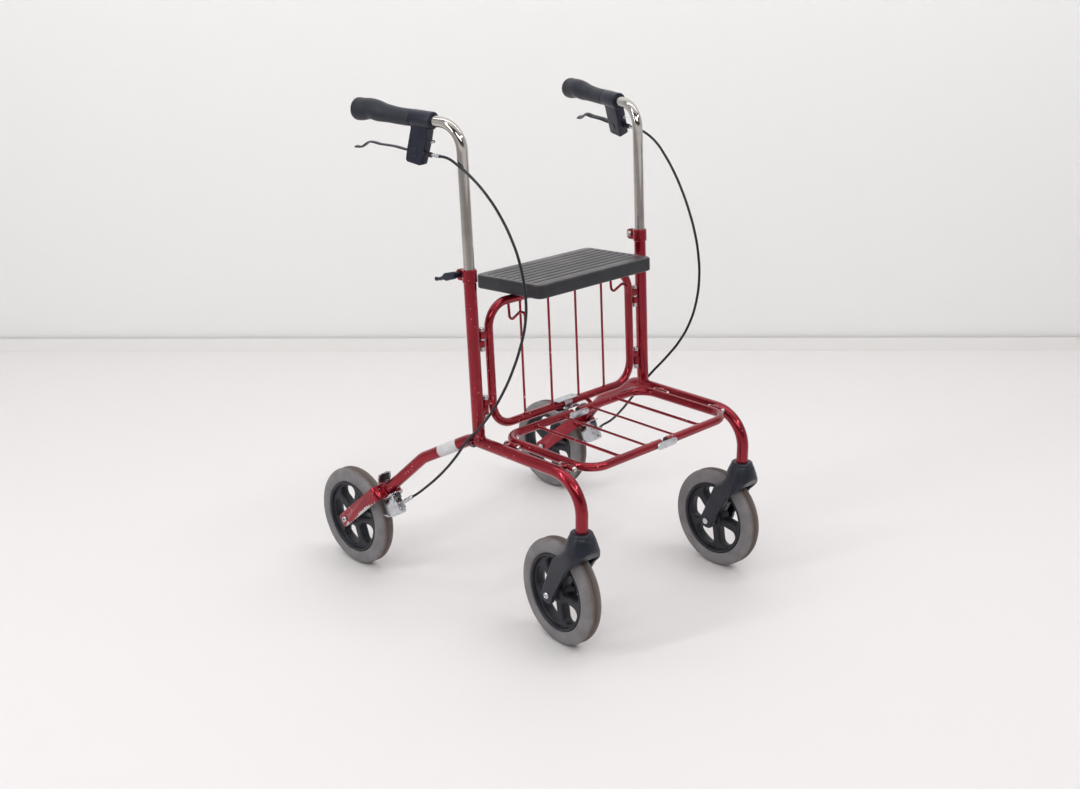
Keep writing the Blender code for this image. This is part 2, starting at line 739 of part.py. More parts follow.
def grip(side):
    """Foam grip that swells towards a rounded butt, with a blind socket for the tube."""
    frame = handle_frame(side)
    stations = [
        (0.1060, 0.0, 0.0140), (0.1080, 0.0, 0.0148), (0.1360, 0.0, 0.0145), (0.1660, 0.0004, 0.0152),
        (0.1860, 0.0015, 0.0167), (0.2010, 0.0027, 0.0188), (0.2140, 0.0030, 0.0202),
        (0.2270, 0.0020, 0.0208), (0.2350, 0.0010, 0.0200), (0.2390, 0.0008, 0.0175), (0.2410, 0.0006, 0.0120)]
    points = [frame @ Vector((0, back, lift)) for back, lift, radius in stations]
    swell = [radius / HANDLE_R for back, lift, radius in stations]
    body = tube(points, HANDLE_R, 12, swell)
    return cut(body, cylinder(
        frame @ Vector((0, 0.095, 0)), frame @ Vector((0, HANDLE_END + GAP, 0)), SOCKET_R, 12))


def brake_housing(side):
    """Housing clamped round the handle tube, slotted at the back for the lever."""
    frame = handle_frame(side)
    block_width = 0.0210
    barrel_r = 0.0155
    boss_r = 0.0058
    block = plate([outline([
        (0.0630, 0.0060, 0), (0.0700, -0.0340, 0.003), (0.0825, -0.0810, 0.003),
        (0.1170, -0.0770, 0.004), (0.1140, -0.0570, 0.004), (0.1053, -0.0175, 0.003),
        (0.1050, 0.0060, 0)], math.radians(50))],
        block_width, plane(frame, "Y", "Z"), 0.0015)
    barrel = cylinder(frame @ Vector((0, 0.0605, 0)), frame @ Vector((0, 0.1055, 0)), barrel_r, 12)
    boss_ends = [frame @ Vector((side * CABLE_OUT, back, CABLE_Z)) for back in (0.0745, 0.0840)]
    join(block, barrel, cylinder(*boss_ends, boss_r, 10))
    cut(
        block,
        cylinder(frame @ Vector((0, 0.050, 0)), frame @ Vector((0, 0.120, 0)), SOCKET_R, 12),
        box((-0.0067, 0.0865, -0.0690), (0.0067, 0.1300, -0.0440), frame))
    pivot = Vector((0, *LEVER_PIVOT))
    half = Vector((0.0090, 0, 0))
    return join(block, cylinder(frame @ (pivot - half), frame @ (pivot + half), PIN_R, 10))


def brake_lever(side):
    """Pressed lever: it runs back below the grip, humps up and turns down at its tip."""
    frame = handle_frame(side)
    centre_line = [
        LEVER_PIVOT, (0.1220, -0.0580), (0.1490, -0.0560), (0.1850, -0.0565), (0.1960, -0.0555),
        (0.2050, -0.0554), (0.2120, -0.0570), (0.2190, -0.0615), (0.2260, -0.0663),
        (0.2316, -0.0680), (0.2414, -0.0687)]
    thickness = 0.0035
    width = 0.0120
    eye_r = 0.0060
    lever = plate([ribbon(centre_line, thickness)], width, plane(frame, "Y", "Z"))
    pivot = Vector((0, *LEVER_PIVOT))
    half = Vector((0.0061, 0, 0))
    join(lever, cylinder(frame @ (pivot - half), frame @ (pivot + half), eye_r, 12))
    return cut(lever, cylinder(frame @ (pivot - 2 * half), frame @ (pivot + 2 * half), PIN_HOLE_R, 10))


def cable_adjuster(side):
    """Lock nut and threaded barrel in front of the housing."""
    frame = handle_frame(side)
    nut_rear, nut_front, barrel_rear, barrel_front = [
        frame @ Vector((side * CABLE_OUT, back, CABLE_Z)) for back in (0.0742, 0.0600, 0.0650, 0.0431)]
    nut_r = 0.0050
    barrel_r = 0.0036
    nut = cylinder(nut_rear, nut_front, nut_r, 6)
    return join(nut, cylinder(barrel_rear, barrel_front, barrel_r, 8))


def cable_route(side):
    """The cable's route: out of the adjuster, forward, down past the rail and back to the brake."""
    frame = handle_frame(side)
    start = [frame @ Vector((side * CABLE_OUT, back, CABLE_Z)) for back in (0.0428, 0.0300)]
    if side == RIGHT:
        loop = [
            (-0.2419, -0.0258, 0.8410), (-0.2420, -0.0689, 0.8200), (-0.2415, -0.1060, 0.7930),
            (-0.2410, -0.1305, 0.7690), (-0.2405, -0.1590, 0.7310), (-0.2400, -0.1785, 0.6910),
            (-0.2405, -0.1926, 0.6325), (-0.2405, -0.1905, 0.5880), (-0.2410, -0.1770, 0.5400),
            (-0.2410, -0.1590, 0.4975), (-0.2415, -0.1380, 0.4570), (-0.2420, -0.1070, 0.4100),
            (-0.2425, -0.0716, 0.3675), (-0.2435, -0.0378, 0.3332), (-0.2482, -0.0088, 0.2924),
            (-0.2550, 0.0278, 0.2491), (-0.2619, 0.0650, 0.2130)]
    else:
        loop = [
            (0.2585, -0.0200, 0.8395), (0.2560, -0.0490, 0.8251), (0.2535, -0.0762, 0.8013),
            (0.2510, -0.1011, 0.7736), (0.2490, -0.1236, 0.7418), (0.2470, -0.1442, 0.7059),
            (0.2450, -0.1622, 0.6658), (0.2435, -0.1742, 0.6245), (0.2425, -0.1795, 0.5777),
            (0.2415, -0.1750, 0.5286), (0.2410, -0.1615, 0.4849), (0.2412, -0.1379, 0.4423),
            (0.2418, -0.1051, 0.4009), (0.2430, -0.0600, 0.3510), (0.2484, -0.0079, 0.2869),
            (0.2550, 0.0270, 0.2470), (0.2615, 0.0620, 0.2130)]
    first, last = ferrule_ends(side)
    inward = (last - first).normalized()
    return start + [Vector(point) for point in loop] + [first - inward * 0.012, first - inward * GAP]


def ferrule_ends(side):
    return Vector((side * 0.2680, 0.0979, 0.1858)), Vector((side * 0.2770, 0.1118, 0.1741))


def cable_end(side):
    """Ferrule of the outer sheath, with the inner wire that leaves it."""
    first, last = ferrule_ends(side)
    ferrule_r = 0.0040
    wire_r = 0.0011
    ferrule = cylinder(first, last, ferrule_r, 10)
    wire_end = Vector((side * 0.2788, 0.1170, 0.1695))
    return join(ferrule, cylinder(last - (last - first) * 0.2, wire_end, wire_r, 6))


# Rear brakes
def brake_pivot(side):
    return fork_frame(side) @ Vector((0, BRAKE_PIVOT_ACROSS, BRAKE_PIVOT_ALONG))


def brake_bracket(side):
    """Zinc strip bent round the fork's crown, with a finger tab above and two ears below."""
    frame = fork_frame(side)
    crown_inside = CROWN_FACE - STRAP
    strip_half = 0.0010
    shelf = -STRAP_HALF_WIDTH - strip_half - GAP
    strip = plate([ribbon([
        (shelf, 0.1580), (shelf, crown_inside - strip_half - GAP),
        (0.0160, crown_inside - strip_half - GAP), (0.0235, 0.1400), (0.0300, 0.1480)],
        2 * strip_half)], 0.0300, plane(frame, "Y", "Z"))
    ear_view = outline([
        (shelf, 0.1530, 0), (shelf, 0.1330, 0), (-0.0302, 0.1365, 0.0058), (-0.0302, 0.1495, 0.0058)])
    ear_x = 0.0093
    ear_thick = 0.0016
    pin_r = 0.0020
    for x in (-ear_x, ear_x):
        join(strip, plate([ear_view], ear_thick, plane(frame @ Matrix.Translation((x, 0, 0)), "Y", "Z")))
    pivot = brake_pivot(side)
    half = Vector((0.0112, 0, 0))
    return join(strip, cylinder(pivot - half, pivot + half, pin_r, 8))


def brake_arm(side):
    """Folded steel arm that hangs from the bracket and carries the shoe blade."""
    place = plane(Matrix.Translation((side * REAR_WHEEL_X, 0, 0)), "Y", "Z")
    coarse = math.radians(50)
    width = 0.0164
    pocket_width = 0.0136
    arm = plate([outline([
        (0.1265, 0.1755, 0.004), (0.1349, 0.1826, 0.005), (0.1440, 0.1748, 0.003), (0.1500, 0.1690, 0.003),
        (0.1640, 0.1600, 0.003), (0.1530, 0.1400, 0.003), (0.1500, 0.1325, 0.002),
        (0.1320, 0.1390, 0.004), (0.1150, 0.1500, 0.004), (0.1140, 0.1620, 0.003),
        (0.1215, 0.1690, 0.003)], coarse)], width, place)
    pocket = plate([outline([
        (0.1235, 0.1950, 0), (0.1235, 0.1680, 0), (0.1158, 0.1607, 0), (0.1168, 0.1512, 0),
        (0.1330, 0.1408, 0), (0.1515, 0.1352, 0), (0.1700, 0.1350, 0), (0.1750, 0.1950, 0)])],
        pocket_width, place)
    cut(arm, pocket)
    x = side * REAR_WHEEL_X
    blade_half = 0.0110
    screw_r = 0.0022
    screw_head_r = 0.0042
    blade = box((x - blade_half, 0.1470, 0.1333), (x + blade_half, 0.1622, 0.1358))
    screw = cylinder((x, 0.1165, 0.1562), (x, 0.1090, 0.1575), screw_r, 8)
    screw_head = cylinder((x, 0.1112, 0.1572), (x, 0.1080, 0.1577), screw_head_r, 6)
    join(arm, blade, screw, screw_head)
    pivot = brake_pivot(side)
    reach = Vector((0.02, 0, 0))
    return cut(arm, cylinder(pivot - reach, pivot + reach, 0.0024, 8))


def brake_spring(side):
    """Torsion spring round the brake's pivot, its legs on the bracket and on the arm."""
    coil_r = 0.0040
    wire_r = 0.0006
    turns = 4
    per_turn = 8
    pitch = 0.0019
    centre = brake_pivot(side)
    start_angle = math.radians(100)
    points = []
    for index in range(turns * per_turn + 1):
        angle = start_angle + math.tau * index / per_turn
        across = -turns * pitch / 2 + pitch * index / per_turn
        points.append(centre + Vector((across, coil_r * math.cos(angle), coil_r * math.sin(angle))))
    for end, neighbour, length in ((0, 1, 0.0035), (-1, -2, 0.0090)):
        leg = (points[end] - points[neighbour]).normalized() * length
        leg.x = 0
        tip = points[end] + leg
        points.insert(0 if end == 0 else len(points), tip)
    least = min(
        (first - second).length - 2 * wire_r
        for index, first in enumerate(points) for second in points[index + per_turn - 1:])
    print(f"{SIDE_NAMES[side]}_brake_spring least gap {least * 1000:.2f} mm")
    return tube(points, wire_r, 6)


# Hinge pins
def back_pin(side, head_top, head_low, nut_high, nut_low, washer=None):
    """Hinge bolt on the raked line, head up, with its washer and nut."""
    profile = [(0.0, up(head_top)), (0.0040, up(head_top - 0.0006)), (PIN_HEAD_R, up(head_top - 0.0028)),
               (PIN_HEAD_R, up(head_low)), (PIN_R, up(head_low))]
    if washer:
        high, low = washer
        profile += [(PIN_R, up(high)), (PIN_WASHER_R, up(high)), (PIN_WASHER_R, up(low)), (PIN_R, up(low))]
    profile += [(PIN_R, up(nut_high)), (PIN_NUT_R, up(nut_high)), (PIN_NUT_R, up(nut_low)), (0.0, up(nut_low))]
    return turned(profile, RAKE_FRAME @ Matrix.Translation((side * HINGE_X, 0, 0)), 8)


def tray_pin(side, head_front, nut_rear):
    """Hinge bolt of the tray, head to the front."""
    frame = Matrix.Translation((side * HINGE_X, 0, TRAY_Z)) @ Matrix.Rotation(math.pi / 2, 4, "X")
    head = -head_front
    nut = -nut_rear
    head_low = head - 0.0037
    nut_high = nut + 0.0047
    return turned([
        (0.0, head), (0.0036, head - 0.0006), (TRAY_PIN_R, head - 0.0022), (TRAY_PIN_R, head_low),
        (PIN_R, head_low), (PIN_R, nut_high), (TRAY_PIN_R, nut_high),
        (TRAY_PIN_R, nut), (0.0, nut)], frame, 8)


# Back loop
def back_half(side):
    """Half of the back loop, with two wires, a bag hook and its hinge knuckles."""
    half = tube(route([
        (raked(side * RAIL_END_X, 0, LOOP_BOTTOM), 0), (raked(side * LOOP_X, 0, LOOP_BOTTOM), LOOP_BEND),
        (raked(side * LOOP_X, 0, LOOP_TOP), LOOP_BEND), (raked(side * RAIL_END_X, 0, LOOP_TOP), 0)]),
        LOOP_R, 8)
    join(half, *back_knuckles(side, LOOP_X, LOOP_KNUCKLES))
    for x in BACK_WIRES:
        join(half, cylinder(
            raked(side * x, -0.0010, LOOP_BOTTOM), raked(side * x, -0.0010, LOOP_TOP), BACK_WIRE_R, 6))
    hook_x = side * HOOK_X
    join(half, tube(route([
        (raked(hook_x, 0, LOOP_TOP - 0.003), 0), (raked(hook_x, -0.002, 0.5415), 0.0060),
        (raked(hook_x, -0.030, 0.5640), 0.0040), (raked(hook_x, -0.0430, 0.5640), 0.0050),
        (raked(hook_x, -0.0430, 0.5456), 0)], math.radians(45)), HOOK_R, 6))
    if side == LEFT:
        stub_start = raked(0.0530, 0, LOOP_BOTTOM)
        join(half, cylinder(stub_start, stub_start + Vector((0, -0.0178, -0.0083)), 0.0040, 8))
    return cut(
        half,
        cylinder(raked(side * HINGE_X, 0, 0.370), raked(side * HINGE_X, 0, 0.560), PIN_HOLE_R, 8),
        cylinder(raked(side * MIDDLE_X, 0, 0.335), raked(side * MIDDLE_X, 0, 0.365), MIDDLE_HOLE_R, 8),
        cylinder(raked(side * MIDDLE_X, 0, 0.568), raked(side * MIDDLE_X, 0, 0.598), MIDDLE_HOLE_R, 8))


def back_bracket(z):
    """Channel that joins the loop's halves: two flanges, a stop web in front and two fused pins."""
    centre = up(z)
    inner = LOOP_R + SHEET_GAP
    pin_end = inner + 0.0028
    flange_view = outline([
        (-0.030, -0.0105, 0.004), (0.030, -0.0105, 0.004), (0.030, 0.0095, 0.009), (-0.030, 0.0095, 0.009)],
        math.radians(45))
    flanges = [
        plate([flange_view], SHEET, RAKE_FRAME @ Matrix.Translation((0, 0, centre + offset)))
        for offset in (inner + SHEET / 2, -inner - SHEET / 2)]
    web_reach = inner + SHEET / 2
    web = box((-0.010, -0.0104, centre - web_reach), (0.010, -0.0086, centre + web_reach), RAKE_FRAME)
    bracket = join(flanges[0], web, flanges[1])
    for x in (-MIDDLE_X, MIDDLE_X):
        low = RAKE_FRAME @ Vector((x, 0, centre - pin_end))
        high = RAKE_FRAME @ Vector((x, 0, centre + pin_end))
        join(bracket, cylinder(low, high, MIDDLE_PIN_R, 8))
    return bracket


# Tray
def tray_half(side):
    """Half of the wire tray, with its hinge barrels and holes for the middle rivets."""
    half = tube(route([
        ((side * RAIL_END_X, TRAY_FRONT, TRAY_Z), 0), ((side * TRAY_X, TRAY_FRONT, TRAY_Z), TRAY_BEND),
        ((side * TRAY_X, TRAY_REAR, TRAY_Z), TRAY_BEND), ((side * RAIL_END_X, TRAY_REAR, TRAY_Z), 0)]),
        LOOP_R, 8)
    join(half, *tray_barrels(side, TRAY_X, TRAY_BARRELS))
    for x, radius in TRAY_WIRES:
        join(half, cylinder(
            (side * x, TRAY_FRONT, TRAY_Z + 0.002), (side * x, TRAY_REAR, TRAY_Z + 0.002), radius, 6))
    cutters = [cylinder((side * HINGE_X, -0.290, TRAY_Z), (side * HINGE_X, -0.110, TRAY_Z), PIN_HOLE_R, 8)]
    for y in (TRAY_FRONT, TRAY_REAR):
        cutters.append(cylinder(
            (side * MIDDLE_X, y - 0.015, TRAY_Z), (side * MIDDLE_X, y + 0.015, TRAY_Z), MIDDLE_HOLE_R, 8))
    return cut(half, *cutters)


def tray_link(y):
    """Link plate in front of a tray rail, with two fused rivets through the rail's halves."""
    front_face = y - LOOP_R - LINK_GAP
    rear_face = y + LOOP_R + LINK_GAP
    washer_r = 0.0046
    washer_thick = 0.0018
    place = Matrix.Translation((0, front_face - LINK_THICK / 2, TRAY_Z))
    link = plate([outline([
        (-0.0265, -0.0065, 0.006), (0.0265, -0.0065, 0.006), (0.0265, 0.0065, 0.006),
        (-0.0265, 0.0065, 0.006)], math.radians(45))], LINK_THICK, plane(place, "X", "Z"))
    for x in (-MIDDLE_X, MIDDLE_X):
        join(link, cylinder(
            (x, front_face - 0.0040, TRAY_Z), (x, rear_face + 0.0014, TRAY_Z), MIDDLE_PIN_R, 8))
        join(link, cylinder((x, rear_face, TRAY_Z), (x, rear_face + washer_thick, TRAY_Z), washer_r, 8))
    return link


# Seat
def seat():
    """Moulded seat board: grooved top, and pockets between stiffening ribs below."""
    width = SEAT_LEFT - SEAT_RIGHT
    depth = SEAT_REAR - SEAT_FRONT
    middle = ((SEAT_LEFT + SEAT_RIGHT) / 2, (SEAT_FRONT + SEAT_REAR) / 2, up(SEAT_TOP) - SEAT_THICK / 2)
    frame = RAKE_FRAME @ Matrix.Translation(middle)
    corner_r = 0.014
    edge_bevel = 0.0030
    board = plate([outline([
        (-width / 2, -depth / 2, corner_r), (width / 2, -depth / 2, corner_r),
        (width / 2, depth / 2, corner_r), (-width / 2, depth / 2, corner_r)])], SEAT_THICK, frame, edge_bevel)
    pitch = (depth - 2 * GROOVE_BORDER) / SEAT_RIBS
    top = SEAT_THICK / 2
    outside = top + 0.0050
    for index in range(1, SEAT_RIBS):
        groove = -depth / 2 + GROOVE_BORDER + index * pitch
        cut(board, box(
            (-width / 2 + GROOVE_BORDER, groove - GROOVE_HALF, top - GROOVE_HALF),
            (width / 2 - GROOVE_BORDER, groove + GROOVE_HALF, outside), frame))
    cell = (width - 2 * SEAT_RIM) / SEAT_COLUMNS
    half_rib = 0.0020
    for low, high in ((-depth / 2 + SEAT_RIM, SEAT_BEAM[0]), (SEAT_BEAM[1], depth / 2 - SEAT_RIM)):
        for index in range(SEAT_COLUMNS):
            left = -width / 2 + SEAT_RIM + index * cell
            cut(board, box(
                (left + half_rib, low, -outside), (left + cell - half_rib, high, top - SEAT_SKIN), frame))
    rail_frame = RAKE_FRAME @ Matrix.Translation((0, 0, up(LOOP_TOP)))
    return cut(board, box(
        (-BRACKET_NOTCH_X, -BRACKET_NOTCH_Y, 0), (BRACKET_NOTCH_X, BRACKET_NOTCH_Y, BRACKET_NOTCH_Z), rail_frame))


def seat_clip():
    """Two snap rings round the back loop's top rail, joined by a bar under the seat."""
    frame = RAKE_FRAME @ Matrix.Translation((0, 0, up(LOOP_TOP)))
    seat_under = up(SEAT_TOP) - SEAT_THICK - up(LOOP_TOP) - GAP
    ring_r = 0.0125
    ring_width = 0.0200
    bore_r = LOOP_R + 0.0004
    mouth_half = 0.0055
    ring_view = outline([
        (-ring_r, seat_under, 0), (-ring_r, -ring_r, 0.010), (ring_r, -ring_r, 0.010), (ring_r, seat_under, 0)])
    clip = box((0.0520, -0.0060, bore_r + 0.0012), (0.1315, 0.0060, seat_under - 0.0006), frame)
    for middle in (0.0600, 0.1235):
        place = frame @ Matrix.Translation((middle, 0, 0))
        join(clip, plate([ring_view], ring_width, plane(place, "Y", "Z")))
    cut(clip, cylinder(frame @ Vector((0.045, 0, 0)), frame @ Vector((0.140, 0, 0)), bore_r, 16))
    return cut(clip, box((0.045, -mouth_half, -0.0200), (0.140, mouth_half, -0.0020), frame))


# Assembly
def build_side(side, body):
    name = SIDE_NAMES[side]
    finish(side_frame(side), f"{name}_side_frame", "red_paint", body)
    finish(rear_fork(side), f"{name}_rear_fork", "red_paint", body)
    finish(clamp_bolt(side), f"{name}_clamp_bolt", "zinc", body)
    finish(cable(cable_route(side), CABLE_R), f"{name}_brake_cable", "cable_black", body)
    finish(cable_end(side), f"{name}_cable_end", "zinc", body)
    finish(brake_bracket(side), f"{name}_brake_bracket", "zinc", body)
    finish(brake_spring(side), f"{name}_brake_spring", "zinc", body)
    finish(back_pin(side, *UPPER_PIN), f"{name}_back_pin_upper", "zinc", body)
    finish(back_pin(side, *LOWER_PIN), f"{name}_back_pin_lower", "zinc", body)
    finish(tray_pin(side, *FRONT_TRAY_PIN), f"{name}_tray_pin_front", "zinc", body)
    finish(tray_pin(side, *REAR_TRAY_PIN), f"{name}_tray_pin_rear", "zinc", body)
    arm_body = body_empty(f"{name}_brake_arm_axis", brake_pivot(side), body)
    finish(brake_arm(side), f"{name}_brake_arm", "zinc", arm_body)
    clamp_body = body_empty(f"{name}_clamp_axis", clamp_place(side), body)
    finish(clamp_lever(side, CLAMP_ANGLES[side]), f"{name}_clamp_lever", "black_plastic", clamp_body)


def build_rear_wheel(side, body):
    name = SIDE_NAMES[side]
    frame = rear_wheel_frame(side)
    finish(axle(side, frame, STRAP_OUT), f"{name}_rear_axle", "zinc", body)
    wheel = body_empty(f"{name}_rear_wheel_axis", frame.translation, body)
    finish(tyre(frame), f"{name}_rear_tyre", "tyre_grey", wheel)
    finish(rim(frame, REAR_HUB_HALF, REAR_SPOKE_TURN), f"{name}_rear_rim", "black_plastic", wheel)


def build_caster(side, body):
    name = SIDE_NAMES[side]
    stem = body_empty(f"{name}_caster_axis", (side * STEM_X, STEM_Y, STEM_BOTTOM), body)
    finish(caster_fork(side), f"{name}_caster_fork", "fork_plastic", stem)
    frame = front_wheel_frame(side)
    finish(axle(side, frame, CASTER_ARM_OUT), f"{name}_front_axle", "zinc", stem)
    wheel = body_empty(f"{name}_front_wheel_axis", frame.translation, stem)
    finish(tyre(frame), f"{name}_front_tyre", "tyre_grey", wheel)
    finish(rim(frame, FRONT_HUB_HALF, FRONT_SPOKE_TURN), f"{name}_front_rim", "black_plastic", wheel)


def build_handle(side, body):
    name = SIDE_NAMES[side]
    slide = body_empty(f"{name}_handle_slide", raked(side * SIDE_X, 0, UPRIGHT_TOP), body)
    finish(handle_tube(side), f"{name}_handle_tube", "chrome", slide)
    finish(grip(side), f"{name}_grip", "grip_foam", slide)
    finish(brake_housing(side), f"{name}_brake_housing", "black_plastic", slide)
    finish(cable_adjuster(side), f"{name}_cable_adjuster", "zinc", slide)
    pivot = handle_frame(side) @ Vector((0, *LEVER_PIVOT))
    lever_body = body_empty(f"{name}_lever_axis", pivot, slide)
    finish(brake_lever(side), f"{name}_brake_lever", "black_plastic", lever_body)


def build_back_and_tray(right_body):
    """The folding chain from the right side frame to the left one."""
    back_right = body_empty("fold_axis", raked(RIGHT * HINGE_X, 0, RAKE_Z), right_body)
    finish(back_half(RIGHT), "back_half_right", "red_paint", back_right)
    brackets = body_empty("back_bracket_axis", raked(-MIDDLE_X, 0, RAKE_Z), back_right)
    finish(back_bracket(LOOP_BOTTOM), "back_bracket_lower", "zinc", brackets)
    finish(back_bracket(LOOP_TOP), "back_bracket_upper", "zinc", brackets)
    back_left = body_empty("back_left_axis", raked(MIDDLE_X, 0, RAKE_Z), brackets)
    finish(back_half(LEFT), "back_half_left", "red_paint", back_left)
    seat_axis = body_empty("seat_axis", raked(0.090, 0, LOOP_TOP), back_left)
    finish(seat(), "seat", "seat_plastic", seat_axis)
    finish(seat_clip(), "seat_clip", "black_plastic", seat_axis)
    left_body = body_empty("left_side_axis", raked(LEFT * HINGE_X, 0, RAKE_Z), back_left)
    tray_right = body_empty("tray_right_axis", (RIGHT * HINGE_X, TRAY_REAR, TRAY_Z), right_body)
    finish(tray_half(RIGHT), "tray_half_right", "red_paint", tray_right)
    links = body_empty("tray_link_axis", (-MIDDLE_X, TRAY_REAR, TRAY_Z), tray_right)
    finish(tray_link(TRAY_FRONT), "tray_link_front", "zinc", links)
    finish(tray_link(TRAY_REAR), "tray_link_rear", "zinc", links)
    tray_left = body_empty("tray_left_axis", (LEFT * HINGE_X, TRAY_REAR, TRAY_Z), left_body)
    finish(tray_half(LEFT), "tray_half_left", "red_paint", tray_left)
    return left_body


for old in list(bpy.data.objects):
    bpy.data.objects.remove(old, do_unlink=True)
PARTS = new_collection("folding_rollator")
CUTTERS = new_collection("cutters")
right_side = body_empty("right_side_base", (RIGHT * SIDE_X, 0, RAIL_Z))
left_side = build_back_and_tray(right_side)
for one_side, side_body in ((RIGHT, right_side), (LEFT, left_side)):
    build_side(one_side, side_body)
    build_rear_wheel(one_side, side_body)
    build_caster(one_side, side_body)
    build_handle(one_side, side_body)
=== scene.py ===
# %% [markdown]
# # A folding rollator, dressed for a studio picture
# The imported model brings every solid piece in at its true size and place. This lesson keeps those
# places and builds each visible piece again with round tubes, soft edges and real finishes.
# Lengths are metres, +Z is up, the front is -Y, and the user's right side is -X.

# %% Load the frame
import math

import bmesh
import bpy
from mathutils import Matrix, Vector, noise


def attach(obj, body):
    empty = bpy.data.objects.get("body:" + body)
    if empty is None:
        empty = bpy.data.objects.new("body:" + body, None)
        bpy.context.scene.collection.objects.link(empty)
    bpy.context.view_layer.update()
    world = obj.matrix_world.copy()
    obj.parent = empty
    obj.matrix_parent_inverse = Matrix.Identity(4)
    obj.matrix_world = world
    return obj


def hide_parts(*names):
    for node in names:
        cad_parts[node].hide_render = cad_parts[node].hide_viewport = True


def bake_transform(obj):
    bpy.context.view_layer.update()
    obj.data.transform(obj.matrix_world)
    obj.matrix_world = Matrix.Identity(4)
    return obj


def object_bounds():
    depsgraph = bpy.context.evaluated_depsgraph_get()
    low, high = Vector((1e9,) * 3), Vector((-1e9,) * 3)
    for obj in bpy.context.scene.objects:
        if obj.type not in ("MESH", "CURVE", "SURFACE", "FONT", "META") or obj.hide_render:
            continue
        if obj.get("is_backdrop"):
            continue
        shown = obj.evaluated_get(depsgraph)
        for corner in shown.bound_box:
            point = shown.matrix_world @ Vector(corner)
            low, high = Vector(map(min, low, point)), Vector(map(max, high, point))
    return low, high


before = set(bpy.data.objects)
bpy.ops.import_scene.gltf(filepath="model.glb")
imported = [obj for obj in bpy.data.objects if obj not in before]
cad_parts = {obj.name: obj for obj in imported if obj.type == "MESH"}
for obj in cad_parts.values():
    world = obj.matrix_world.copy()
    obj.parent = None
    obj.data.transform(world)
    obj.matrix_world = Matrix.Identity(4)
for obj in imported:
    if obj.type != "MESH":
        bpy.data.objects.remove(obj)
CAD_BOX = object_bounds()

# %% [markdown]
# ## The camera
# A picture matches only if the camera stands where the photographer stood. The place, the two angles
# and the lens were solved from known points of the frame, such as axles and tube ends, so they are
# given as plain numbers here.

# %% Camera
CAMERA_PLACE = Vector((-1.7988, -1.8011, 1.2621))
AZIMUTH = math.radians(-44.70)
ELEVATION = math.radians(19.65)
ROLL = math.radians(-0.09)
LENS_MM = 45.66
SENSOR_MM = 36.0

back = Vector((math.sin(AZIMUTH) * math.cos(ELEVATION),
               -math.cos(AZIMUTH) * math.cos(ELEVATION), math.sin(ELEVATION)))
lens = bpy.data.cameras.new("camera")
lens.lens = LENS_MM
lens.sensor_width = SENSOR_MM
camera = bpy.data.objects.new("camera", lens)
camera.rotation_mode = "QUATERNION"
camera.location = CAMERA_PLACE
roll_turn = Matrix.Rotation(ROLL, 3, "Z").to_quaternion()
camera.rotation_quaternion = (-back).to_track_quat("-Z", "Y") @ roll_turn
bpy.context.scene.collection.objects.link(camera)
bpy.context.scene.camera = camera
bpy.context.scene.view_settings.view_transform = "Standard"
print("camera at", tuple(round(value, 3) for value in camera.location))

# %% [markdown]
# ## Measures of the real piece
# Every piece below is drawn from the same measures as the solids. Naming the shared ones once keeps the
# wheels on their axles and the tubes in their sockets. A measure that one piece alone needs is named
# with that piece. Right and left are told apart by a side of -1 or 1, which turns x over.

# %% Shared measures
SIDES = ((-1, "right"), (1, "left"))
TYRE_R = 0.100
REAR_WHEEL_X = 0.279
REAR_AXLE_Y = 0.260
STEM_X = 0.2272
STEM_Y = -0.3155
TRAIL = 0.0563
CASTER_TURN = {-1: math.radians(-7.5), 1: math.radians(-3.5)}
FORK_ARM_OUT = 0.0340
STRAP_OUT = 0.0330
FORK_TILT = math.radians(49.7)
SIDE_X = 0.228
RAIL_Z = 0.3325
print("wheelbase", REAR_AXLE_Y - STEM_Y - TRAIL)

# %% [markdown]
# ## Places
# The uprights lean back, the grips turn outward, and each caster was left a little turned. The left
# handle stands lower, with its brake turned inward. Small frames, each a matrix, let a piece be drawn
# straight and then set at its true angle.

# %% The leaning plane
RAKE = math.atan(0.0584)
RAKE_Y = -0.0544
RAKE_Z = 0.3370
RAKE_FRAME = Matrix.Translation((0, RAKE_Y, RAKE_Z)) @ Matrix.Rotation(-RAKE, 4, "X")
AXES = {"X": Vector((1, 0, 0)), "Y": Vector((0, 1, 0)), "Z": Vector((0, 0, 1))}


def up(z):
    """Distance along the leaning line for a height."""
    return (z - RAKE_Z) / math.cos(RAKE)


def raked(x, depth, z):
    """A point of the leaning plane, given at its true height."""
    return RAKE_FRAME @ Vector((x, depth, up(z)))


def sided(side, point):
    """A point measured on the left, put on its own side."""
    x, y, z = point
    return Vector((side * x, y, z))


print("lean in degrees", round(math.degrees(RAKE), 2))

# %% Handles, casters and wheels
GRIP_RISE = math.radians(2.3)
HANDLE_SETTINGS = {
    -1: (0.9067, math.radians(9.7), 0.0),
    1: (0.8958, math.radians(12.6), math.radians(-24)),
}


def grip_frame(side):
    """At the handle's corner: X across the grip, Y back along it, Z away from the lever."""
    corner_z, toe_out, roll = HANDLE_SETTINGS[side]
    along = Vector((side * math.sin(toe_out) * math.cos(GRIP_RISE),
                    math.cos(toe_out) * math.cos(GRIP_RISE), math.sin(GRIP_RISE)))
    across = Vector((along.y, -along.x, 0)).normalized()
    turn = Matrix((across, along, across.cross(along))).transposed().to_4x4()
    return Matrix.Translation(raked(side * SIDE_X, 0, corner_z)) @ turn @ Matrix.Rotation(roll, 4, "Y")


